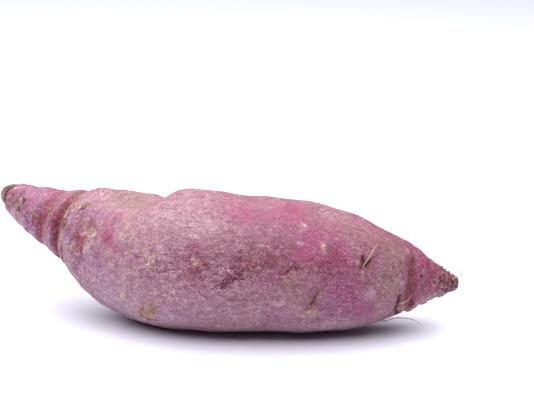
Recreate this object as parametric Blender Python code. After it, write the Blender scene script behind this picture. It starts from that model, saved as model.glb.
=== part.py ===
"""A purple sweet potato, whole and raw, lying on its side.

The root is one closed skin. A centre line runs from the stalk scar at -X to the root tip at +X, and
each point of the skin is given by its place along that line and its turn round it: 0 degrees faces
the front (-Y), 90 faces up, 180 the back and 270 down. The sections are ellipses through the stations
below. Relief then moves the skin in or out: the ring creases and the collar of the neck, the hollow
between neck and belly, the groove before the tip, and the eyes, slits and scars. The underside is
pressed flat where the root rests. Lengths in the tables are millimetres and turns are degrees.
"""
import math

import bmesh
import bpy
import numpy as np

MM = 0.001

# Centre line (x, y, z) and the section's half height and half width, from stalk scar to root tip
STATIONS = (
    (-92.3, 34.5, 44.0, 4.2, 4.1),
    (-87.0, 32.0, 42.3, 6.1, 6.0),
    (-79.5, 28.3, 39.3, 9.0, 8.8),
    (-70.0, 23.0, 36.4, 11.5, 11.4),
    (-59.0, 17.0, 33.8, 15.6, 15.5),
    (-47.0, 10.0, 30.2, 21.0, 20.8),
    (-32.0, 2.0, 26.0, 24.8, 24.6),
    (-14.0, -6.0, 26.7, 27.4, 27.2),
    (6.0, -11.0, 27.0, 27.2, 27.0),
    (25.0, -11.5, 25.9, 25.9, 25.8),
    (42.5, -11.5, 24.2, 24.0, 24.0),
    (58.0, -10.5, 22.0, 19.8, 20.0),
    (71.0, -9.0, 20.4, 13.9, 14.2),
    (81.0, -7.5, 18.9, 7.9, 8.2),
    (89.0, -6.5, 17.7, 3.7, 3.8),
    (93.5, -6.0, 16.8, 2.6, 2.6),
)
BELLY_RADIUS = 27.4

# Rounding of the two ends: its reach along the root, and how square its shoulder is
STALK_END = (6.0, 1.9)
TIP_END = (1.6, 2.4)

# Slow swells of the whole skin: height, wavelength along, waves round, phase along, phase round
SWELLS = (
    (0.30, 66.0, 2, 20.0, 40.0),
    (0.30, 39.0, 3, 110.0, 250.0),
    (0.25, 27.0, 1, 70.0, 10.0),
    (0.20, 17.0, 4, 200.0, 130.0),
)

# Bands that go all the way round: half width, then (turn, place along, height) at points round it
BANDS = {
    "stalk pad groove": (0.8, ((0, 4.0, -0.7), (80, 5.2, -0.6), (180, 4.6, -0.5), (270, 4.8, -0.6))),
    "stalk rim": (1.4, ((0, 6.4, 0.4), (90, 7.2, 0.3), (180, 6.8, 0.4), (270, 6.8, 0.3))),
    "ring scar": (1.0, ((0, 16.0, -0.5), (40, 13.5, -0.7), (130, 14.0, -0.3), (240, 16.0, -0.4))),
    "first bulge": (3.5, ((0, 21.0, 0.5), (90, 20.0, 0.3), (180, 21.0, 0.4), (270, 22.0, 0.1))),
    "first crease": (1.1, ((-40, 29.0, -0.9), (0, 29.0, -1.1), (45, 30.0, -0.8), (120, 29.0, -0.3),
                           (200, 30.0, -0.5))),
    "second bulge": (3.2, ((0, 34.5, 0.6), (90, 34.5, 0.3), (180, 34.0, 0.5), (270, 34.5, 0.2))),
    "deep crease": (1.6, ((-45, 40.0, -1.4), (0, 39.2, -2.0), (50, 39.8, -1.8), (90, 39.0, -0.8),
                          (160, 40.5, -1.0), (230, 39.0, -1.0))),
    "thin crease": (0.8, ((-40, 45.5, -0.6), (0, 43.6, -0.8), (30, 41.8, -0.9), (60, 42.0, -0.2),
                          (150, 44.0, -0.2), (230, 45.0, -0.5))),
    "collar": (3.2, ((-70, 57.0, 0.0), (-20, 54.0, 0.5), (0, 48.8, 0.9), (25, 45.8, 1.0), (60, 44.8, 0.9),
                     (100, 44.5, 0.8), (150, 46.0, 0.8), (220, 51.0, 0.5))),
    "collar fold": (1.2, ((-60, 61.0, -0.2), (0, 56.5, -0.4), (30, 51.5, -0.5), (60, 51.0, -0.2),
                          (140, 52.0, -0.4), (220, 57.0, -0.3))),
    "tip groove": (1.4, ((-45, 177.0, -1.0), (0, 175.4, -1.4), (40, 176.2, -1.4), (60, 177.5, -0.6),
                         (150, 176.0, -0.3), (230, 176.0, -0.6))),
    "tip shoulder": (2.4, ((0, 180.0, 0.5), (90, 180.5, 0.3), (180, 180.0, 0.3), (270, 180.5, 0.6))),
    "knob": (2.2, ((0, 193.0, 0.4), (90, 192.0, 0.3), (180, 193.5, 0.4), (270, 194.0, 0.6))),
}

# Marks drawn on the skin: half width, height, then (place along, turn) at points of the stroke
STROKES = {
    "hollow behind neck": (5.5, -1.7, ((57, 76), (66, 79), (74, 81), (79, 89), (81, 100), (81, 116))),
    "shoulder edge": (2.4, -0.9, ((77, 62), (81, 68), (83, 78), (85, 90), (86, 104))),
    "ridge beyond hollow": (5.0, 1.0, ((49, 99), (58, 103), (66, 106))),
    "shoulder swell": (6.0, 0.5, ((87, 58), (91, 76), (93, 98))),
    "under collar": (5.5, -1.7, ((46, -62), (55, -66))),
    "under belly": (7.0, -0.8, ((110, -68), (121, -68))),
    "resting swell": (9.0, 0.8, ((88, 263), (112, 259), (136, 256))),
    "top swell": (8.0, 0.6, ((136, 100), (157, 100))),
    "tip swell": (5.0, 0.9, ((181, 96), (189, 96))),
    "collar slit": (1.1, -0.9, ((46, 45), (48, 54), (50, 63))),
    "small neck scar": (1.1, -0.5, ((31, 33), (32, 45))),
    "pitted patch": (2.3, -0.5, ((108, -3), (112, 3), (116, 10))),
    "pitted lip": (1.3, 0.4, ((106, -7), (112, -3), (117, 5))),
    "belly nick": (1.4, -0.4, ((127, 12), (133, 16))),
    "split scar": (1.5, 0.5, ((87, -24), (84, -37))),
    "lower slit": (0.9, -0.9, ((142, -2), (140.5, -10), (139, -22))),
    "upper slit": (0.8, -1.1, ((159.5, 36), (158, 29), (156, 20))),
    "tip slit": (1.0, -1.1, ((173, -12), (171.5, -26), (172, -40))),
    "back slit": (1.0, -1.0, ((112, 162), (110, 176))),
    "back split": (1.0, -0.9, ((66, 205), (69, 222))),
    "back scar": (1.6, 0.5, ((146, 196), (151, 204))),
    "under slit": (0.9, -0.8, ((128, 236), (126, 250))),
}

# Round eyes and pits: place along, turn, radius, height
EYES = {
    "neck dot": (25, 18, 1.0, -0.4),
    "tip pit": (178, -28, 1.3, -0.9),
    "tip eye": (181, 22, 1.4, -0.5),
    "last eye": (187, 16, 1.2, -0.4),
    "belly eye": (153, 38, 1.2, -0.3),
    "lower eye": (155, -7, 1.2, -0.3),
    "back eye": (92, 148, 1.6, -0.6),
    "far eye": (135, 150, 1.4, -0.5),
    "hind eye": (164, 178, 1.4, -0.6),
    "rear eye": (55, 172, 1.5, -0.6),
}

# The mesh: points round a ring, rings along the root, and where rings draw closer (place, reach)
POINTS_ROUND = 48
RINGS_ALONG = 112
OPEN_STEP = 2.9
CLOSE_STEP = 1.1
CLOSE_ZONES = ((0.0, 2.5), (14.5, 3.0), (29.5, 2.5), (42.0, 5.0), (140.5, 3.5), (158.0, 3.5),
               (174.5, 4.0), (188.0, 5.0), (198.0, 4.0))


def smooth_through(at, knots, values):
    """Cubic through the values at the knots, with no bend at its two ends."""
    count = len(knots)
    gaps = np.diff(knots)
    matrix = np.eye(count)
    pull = np.zeros(values.shape)
    for i in range(1, count - 1):
        matrix[i, i - 1:i + 2] = gaps[i - 1], 2 * (gaps[i - 1] + gaps[i]), gaps[i]
        pull[i] = 6 * ((values[i + 1] - values[i]) / gaps[i] - (values[i] - values[i - 1]) / gaps[i - 1])
    bend = np.linalg.solve(matrix, pull)
    span = np.clip(np.searchsorted(knots, at) - 1, 0, count - 2)
    gap = gaps[span]
    before = (knots[span + 1] - at) / gap
    after = (at - knots[span]) / gap
    if values.ndim > 1:
        gap, before, after = gap[..., None], before[..., None], after[..., None]
    line = before * values[span] + after * values[span + 1]
    curve = (before ** 3 - before) * bend[span] + (after ** 3 - after) * bend[span + 1]
    return line + curve * gap ** 2 / 6


def smooth_round(turn, points):
    """Closed smooth curve through (turn, value, ...) points, repeated a full turn either side."""
    table = np.array(sorted(points), dtype=float)
    angles = np.concatenate([table[:, 0] + full_turn for full_turn in (-360.0, 0.0, 360.0)])
    return smooth_through(turn, angles, np.tile(table[:, 1:], (3, 1)))


def station_places():
    """Distance of each station along the centre line."""
    points = np.array(STATIONS)[:, :3]
    return np.concatenate([[0.0], np.cumsum(np.linalg.norm(np.diff(points, axis=0), axis=1))])


def end_rounding(away, reach, squareness):
    """Grows from 0 at the end itself to 1 at the rounding's reach, along a superellipse."""
    left = 1 - np.clip(away / reach, 0, 1)
    return (1 - left ** squareness) ** (1 / squareness)


def wrapped(turn):
    """The same turn between -180 and 180 degrees."""
    return (turn + 180.0) % 360.0 - 180.0


def bump(distance, half_width):
    """Rounded profile of height 1 that has gone to nothing at about twice its half width."""
    return np.exp(-(distance / half_width) ** 2)


def stroke_distance(along, turn, radius, points):
    """Distance over the skin, unrolled at the local radius, to a broken line of points."""
    nearest = np.full(along.shape, np.inf)
    for (place, angle), (next_place, next_angle) in zip(points, points[1:]):
        step_along = next_place - place
        step_round = radius * math.radians(next_angle - angle)
        off_along = along - place
        off_round = radius * np.radians(wrapped(turn - angle))
        share = (off_along * step_along + off_round * step_round) / (step_along ** 2 + step_round ** 2)
        share = np.clip(share, 0, 1)
        miss = np.hypot(off_along - share * step_along, off_round - share * step_round)
        nearest = np.minimum(nearest, miss)
    return nearest


def relief(along, turn, radius):
    """How far the skin stands out from its plain section, from all the tables above."""
    height = np.zeros(along.shape)
    for rise, length, waves, phase_along, phase_round in SWELLS:
        wave_along = np.sin(np.radians(360.0 * along / length + phase_along))
        wave_round = np.cos(np.radians(waves * turn + phase_round))
        height += rise * wave_along * wave_round * radius / BELLY_RADIUS
    for half_width, points in BANDS.values():
        band = smooth_round(turn % 360.0, points)
        height += band[..., 1] * bump(along - band[..., 0], half_width)
    for half_width, rise, points in STROKES.values():
        height += rise * bump(stroke_distance(along, turn, radius, points), half_width)
    for place, angle, size, rise in EYES.values():
        miss = np.hypot(along - place, radius * np.radians(wrapped(turn - angle)))
        height += rise * bump(miss, size)
    return height


def skin(places, turns):
    """Points of the skin in mm, on a grid of places along the root by turns round it."""
    table = np.array(STATIONS)
    knots = station_places()
    centre = smooth_through(places, knots, table[:, :3])
    halves = smooth_through(places, knots, table[:, 3:])
    ahead = smooth_through(np.clip(places + 0.5, 0, knots[-1]), knots, table[:, :3])
    behind = smooth_through(np.clip(places - 0.5, 0, knots[-1]), knots, table[:, :3])
    line = ahead - behind
    line /= np.linalg.norm(line, axis=1, keepdims=True)
    front = np.cross(line, (0.0, 0.0, 1.0))
    front /= np.linalg.norm(front, axis=1, keepdims=True)
    top = np.cross(front, line)

    rounding = end_rounding(places, *STALK_END) * end_rounding(knots[-1] - places, *TIP_END)
    along, turn = np.meshgrid(places, turns, indexing="ij")
    radius = np.repeat(halves.mean(axis=1)[:, None], len(turns), axis=1)
    height = relief(along, turn, radius)
    reach_front = (halves[:, 1:] + height) * rounding[:, None] * np.cos(np.radians(turn))
    reach_top = (halves[:, :1] + height) * rounding[:, None] * np.sin(np.radians(turn))
    points = centre[:, None] + reach_front[..., None] * front[:, None] + reach_top[..., None] * top[:, None]
    points[..., 2] = np.maximum(points[..., 2], 0.0)
    return points


def ring_places():
    """Places of the rings, evenly spread over a count that rises faster in the close zones."""
    length = station_places()[-1]
    fine = np.linspace(0, length, 4001)
    rate = np.full(fine.shape, 1 / OPEN_STEP)
    for place, reach in CLOSE_ZONES:
        rate += bump(fine - place, reach) / CLOSE_STEP
    count = np.concatenate([[0.0], np.cumsum((rate[1:] + rate[:-1]) / 2)])
    return np.interp(np.linspace(0, count[-1], RINGS_ALONG + 2), count, fine)


def skin_material():
    """Dusty mauve-pink skin, dull and slightly rough."""
    material = bpy.data.materials.new("sweet_potato_skin")
    material.use_nodes = True
    shader = material.node_tree.nodes["Principled BSDF"]
    shader.inputs["Base Color"].default_value = (0.38, 0.19, 0.27, 1.0)
    shader.inputs["Roughness"].default_value = 0.6
    shader.inputs["Metallic"].default_value = 0.0
    return material


def build_root():
    """A ball of rings and points, each moved to its own place and turn on the skin."""
    places = ring_places()
    turns = np.arange(POINTS_ROUND) * 360.0 / POINTS_ROUND
    points = skin(places, turns) * MM
    shape = bmesh.new()
    bmesh.ops.create_uvsphere(shape, u_segments=POINTS_ROUND, v_segments=len(places) - 1, radius=1.0)
    for vert in shape.verts:
        x, y, z = vert.co
        ring = round(math.atan2(math.hypot(x, y), z) / math.pi * (len(places) - 1))
        column = round(math.atan2(y, x) / math.tau * POINTS_ROUND) % POINTS_ROUND
        vert.co = points[ring, column]
    bmesh.ops.recalc_face_normals(shape, faces=shape.faces)
    mesh = bpy.data.meshes.new("sweet_potato")
    shape.to_mesh(mesh)
    shape.free()
    mesh.shade_smooth()
    mesh.materials.append(skin_material())
    root = bpy.data.objects.new("sweet_potato", mesh)
    bpy.context.scene.collection.objects.link(root)
    return root


def main():
    for old in list(bpy.data.objects):
        bpy.data.objects.remove(old, do_unlink=True)
    build_root()


main()
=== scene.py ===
"""Looks of a purple sweet potato lying on its side: its skin, root hairs and papery flakes.

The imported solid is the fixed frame. The skin repeats the solid's surface more finely: one point for
each place along the root's centre line, from the stalk scar at -X to the tip at +X, and each turn
round it, where 0 degrees faces the front (-Y), 90 faces up, 180 the back and 270 down. Washes, inked
creases and dots of colour are laid at such places too and kept as attributes of the skin's mesh.
Lengths in the tables are millimetres and turns are degrees.
"""

import math
from functools import lru_cache
from itertools import product

import bpy
import numpy as np
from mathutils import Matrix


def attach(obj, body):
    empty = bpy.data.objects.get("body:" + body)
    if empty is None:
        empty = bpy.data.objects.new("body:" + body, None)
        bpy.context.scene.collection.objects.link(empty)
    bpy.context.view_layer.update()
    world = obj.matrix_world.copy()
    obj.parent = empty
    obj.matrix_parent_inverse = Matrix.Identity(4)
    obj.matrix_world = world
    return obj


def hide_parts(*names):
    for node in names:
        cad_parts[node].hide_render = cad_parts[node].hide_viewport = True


bl_info = {
    "name": "Purple Sweet Potato",
    "version": (1, 0, 0),
    "blender": (4, 5, 0),
    "location": "3D View > Sidebar > Sweet Potato",
    "description": "Builds the skin, root hairs, flakes and studio of a purple sweet potato",
    "category": "Add Mesh",
}

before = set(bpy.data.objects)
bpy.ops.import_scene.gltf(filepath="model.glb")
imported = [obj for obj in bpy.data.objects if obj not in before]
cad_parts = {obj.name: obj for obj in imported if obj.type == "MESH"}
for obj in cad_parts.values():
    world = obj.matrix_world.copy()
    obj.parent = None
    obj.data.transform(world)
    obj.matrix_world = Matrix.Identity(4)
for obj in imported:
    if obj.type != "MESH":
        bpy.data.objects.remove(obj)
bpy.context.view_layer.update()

NODE = "sweet_potato"
BODY = "root"
MM = 0.001

# Centre line (x, y, z) and the section's half height and half width, from stalk scar to root tip
STATIONS = (
    (-92.3, 34.5, 44.0, 4.2, 4.1),
    (-87.0, 32.0, 42.3, 6.1, 6.0),
    (-79.5, 28.3, 39.3, 9.0, 8.8),
    (-70.0, 23.0, 36.4, 11.5, 11.4),
    (-59.0, 17.0, 33.8, 15.6, 15.5),
    (-47.0, 10.0, 30.2, 21.0, 20.8),
    (-32.0, 2.0, 26.0, 24.8, 24.6),
    (-14.0, -6.0, 26.7, 27.4, 27.2),
    (6.0, -11.0, 27.0, 27.2, 27.0),
    (25.0, -11.5, 25.9, 25.9, 25.8),
    (42.5, -11.5, 24.2, 24.0, 24.0),
    (58.0, -10.5, 22.0, 19.8, 20.0),
    (71.0, -9.0, 20.4, 13.9, 14.2),
    (81.0, -7.5, 18.9, 7.9, 8.2),
    (89.0, -6.5, 17.7, 3.7, 3.8),
    (93.5, -6.0, 16.8, 2.6, 2.6),
)
BELLY_RADIUS = 27.4

# Rounding of the two ends: its reach along the root, and how square its shoulder is
STALK_END = (6.0, 1.9)
TIP_END = (1.6, 2.4)

# Slow swells of the whole skin: height, wavelength along, waves round, phase along, phase round
SWELLS = (
    (0.30, 66.0, 2, 20.0, 40.0),
    (0.30, 39.0, 3, 110.0, 250.0),
    (0.25, 27.0, 1, 70.0, 10.0),
    (0.20, 17.0, 4, 200.0, 130.0),
)

# The marks of the skin. After its numbers, each mark lists the tints laid in it: (tint, strength, reach
# in half widths). Bands go all the way round: half width, then (turn, place along, height) at points
# In the sunken bands the crease and dark brown inks are partly the skin's own maroon and brown, partly
# painted shade of the hollow, strongest where the band sinks deepest.
BANDS = {
    "stalk pad groove": (0.9, ((0, 4.6, -0.6), (80, 5.4, -0.5), (180, 4.6, -0.5), (270, 4.8, -0.6)),
        ("soil", 0.45, 0.8)),
    "stalk rim": (1.4, ((0, 7, 0.4), (90, 7.4, 0.3), (180, 6.8, 0.4), (270, 6.8, 0.3)),
        ("cork", 0.6, 1.2)),
    "ring scar": (1.2, ((0, 15.4, -0.3), (40, 13.5, -0.4), (130, 14, -0.3), (240, 16, -0.4))),
    "first bulge": (3.5, ((0, 21, 0.5), (90, 20, 0.3), (180, 21, 0.4), (270, 22, 0.1))),
    "first crease": (1.3, ((-40, 28.9, -0.7), (0, 29.4, -0.8), (45, 29.9, -0.6), (120, 29, -0.3),
        (200, 30, -0.5)), ("crease", 0.8, 1), ("wine", 0.75, 2)),
    "second bulge": (3.2, ((0, 34.5, 0.5), (90, 34.5, 0.3), (180, 34, 0.5), (270, 34.5, 0.2))),
    "deep crease": (1.6, ((-45, 39.4, -1.2), (0, 39.4, -1.5), (50, 38.8, -1.2), (90, 39, -0.7),
        (160, 40.5, -0.9), (230, 39, -1)), ("crease", 1.1, 1), ("wine", 0.85, 2)),
    "ridge edge": (0.8, ((-45, 41.8, 0.1), (0, 41.5, 0.4), (35, 41.9, 0.45), (60, 42.6, 0.2),
        (160, 42.8, 0.3), (230, 41.4, 0.3)), ("cork", 0.6, 1.6)),
    "thin crease": (0.8, ((-40, 45, -0.6), (0, 43.9, -0.5), (30, 43.6, -0.3), (60, 43, -0.1),
        (150, 44, -0.2), (230, 45, -0.5)), ("crease", 0.5, 1)),
    "collar": (3.4, ((-70, 57, 0), (-20, 54, 0.5), (0, 48.8, 0.8), (25, 45.8, 0.8), (60, 44.8, 0.8),
        (100, 44.5, 0.8), (150, 46, 0.8), (220, 51, 0.5)), ("straw", 0.25, 0.8)),
    "collar fold": (1.4, ((-60, 61, -0.2), (0, 56.5, -0.3), (30, 51.5, -0.3), (60, 51, -0.2),
        (140, 52, -0.4), (220, 57, -0.3))),
    "groove lip": (0.8, ((-45, 175, 0.2), (-5, 174.5, 0.4), (20, 174.8, 0.4), (45, 175.5, 0.35),
        (90, 176, 0), (180, 175, 0.1), (270, 175, 0)), ("straw", 0.6, 0.9)),
    # The groove's crease and wine inks are partly its maroon skin, partly a painted shade band along the
    # groove.
    "tip groove": (1.4, ((-45, 177.4, -0.7), (-5, 176.4, -1.2), (20, 176.6, -1.2), (40, 177.1, -1.1),
        (60, 177.8, -0.5), (150, 176.6, -0.3), (230, 176.6, -0.5)),
        ("crease", 1.05, 1.1), ("wine", 0.7, 2.3)),
    "tip shoulder": (2.4, ((0, 181, 0.5), (90, 181, 0.3), (180, 180, 0.3), (270, 180.5, 0.6))),
    "knob": (2.2, ((0, 193, 0.3), (90, 192, 0.2), (180, 193.5, 0.4), (270, 194, 0.6))),
}

# Broad forms of the skin: height, then (place along, turn, half width) at points of a stroke
STROKES = {
    "hollow behind neck": (-1.7, ((57, 76, 5.5), (66, 79, 5.5), (74, 81, 5.5), (79, 89, 5.5),
        (81, 100, 5.5), (81, 116, 5.5))),
    "shoulder edge": (-0.9, ((77, 62, 2.4), (81, 68, 2.4), (83, 78, 2.4), (85, 90, 2.4),
        (86, 104, 2.4)), ("cork", 0.3, 0.8)),
    "ridge beyond hollow": (1, ((49, 99, 5), (58, 103, 5), (66, 106, 5))),
    "shoulder swell": (0.5, ((87, 58, 6), (91, 76, 6), (93, 98, 6))),
    "under collar": (-1.7, ((46, -62, 5.5), (55, -66, 5.5))),
    "under belly": (-0.8, ((110, -68, 7), (121, -68, 7))),
    "resting swell": (0.8, ((88, 263, 9), (112, 259, 9), (136, 256, 9))),
    "top swell": (0.6, ((136, 100, 8), (157, 100, 8))),
    "tip swell": (0.9, ((181, 96, 5), (189, 96, 5))),
    "back scar": (0.5, ((146, 196, 1.6), (151, 204, 1.6)), ("cork", 0.8, 1.1)),
}
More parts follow.
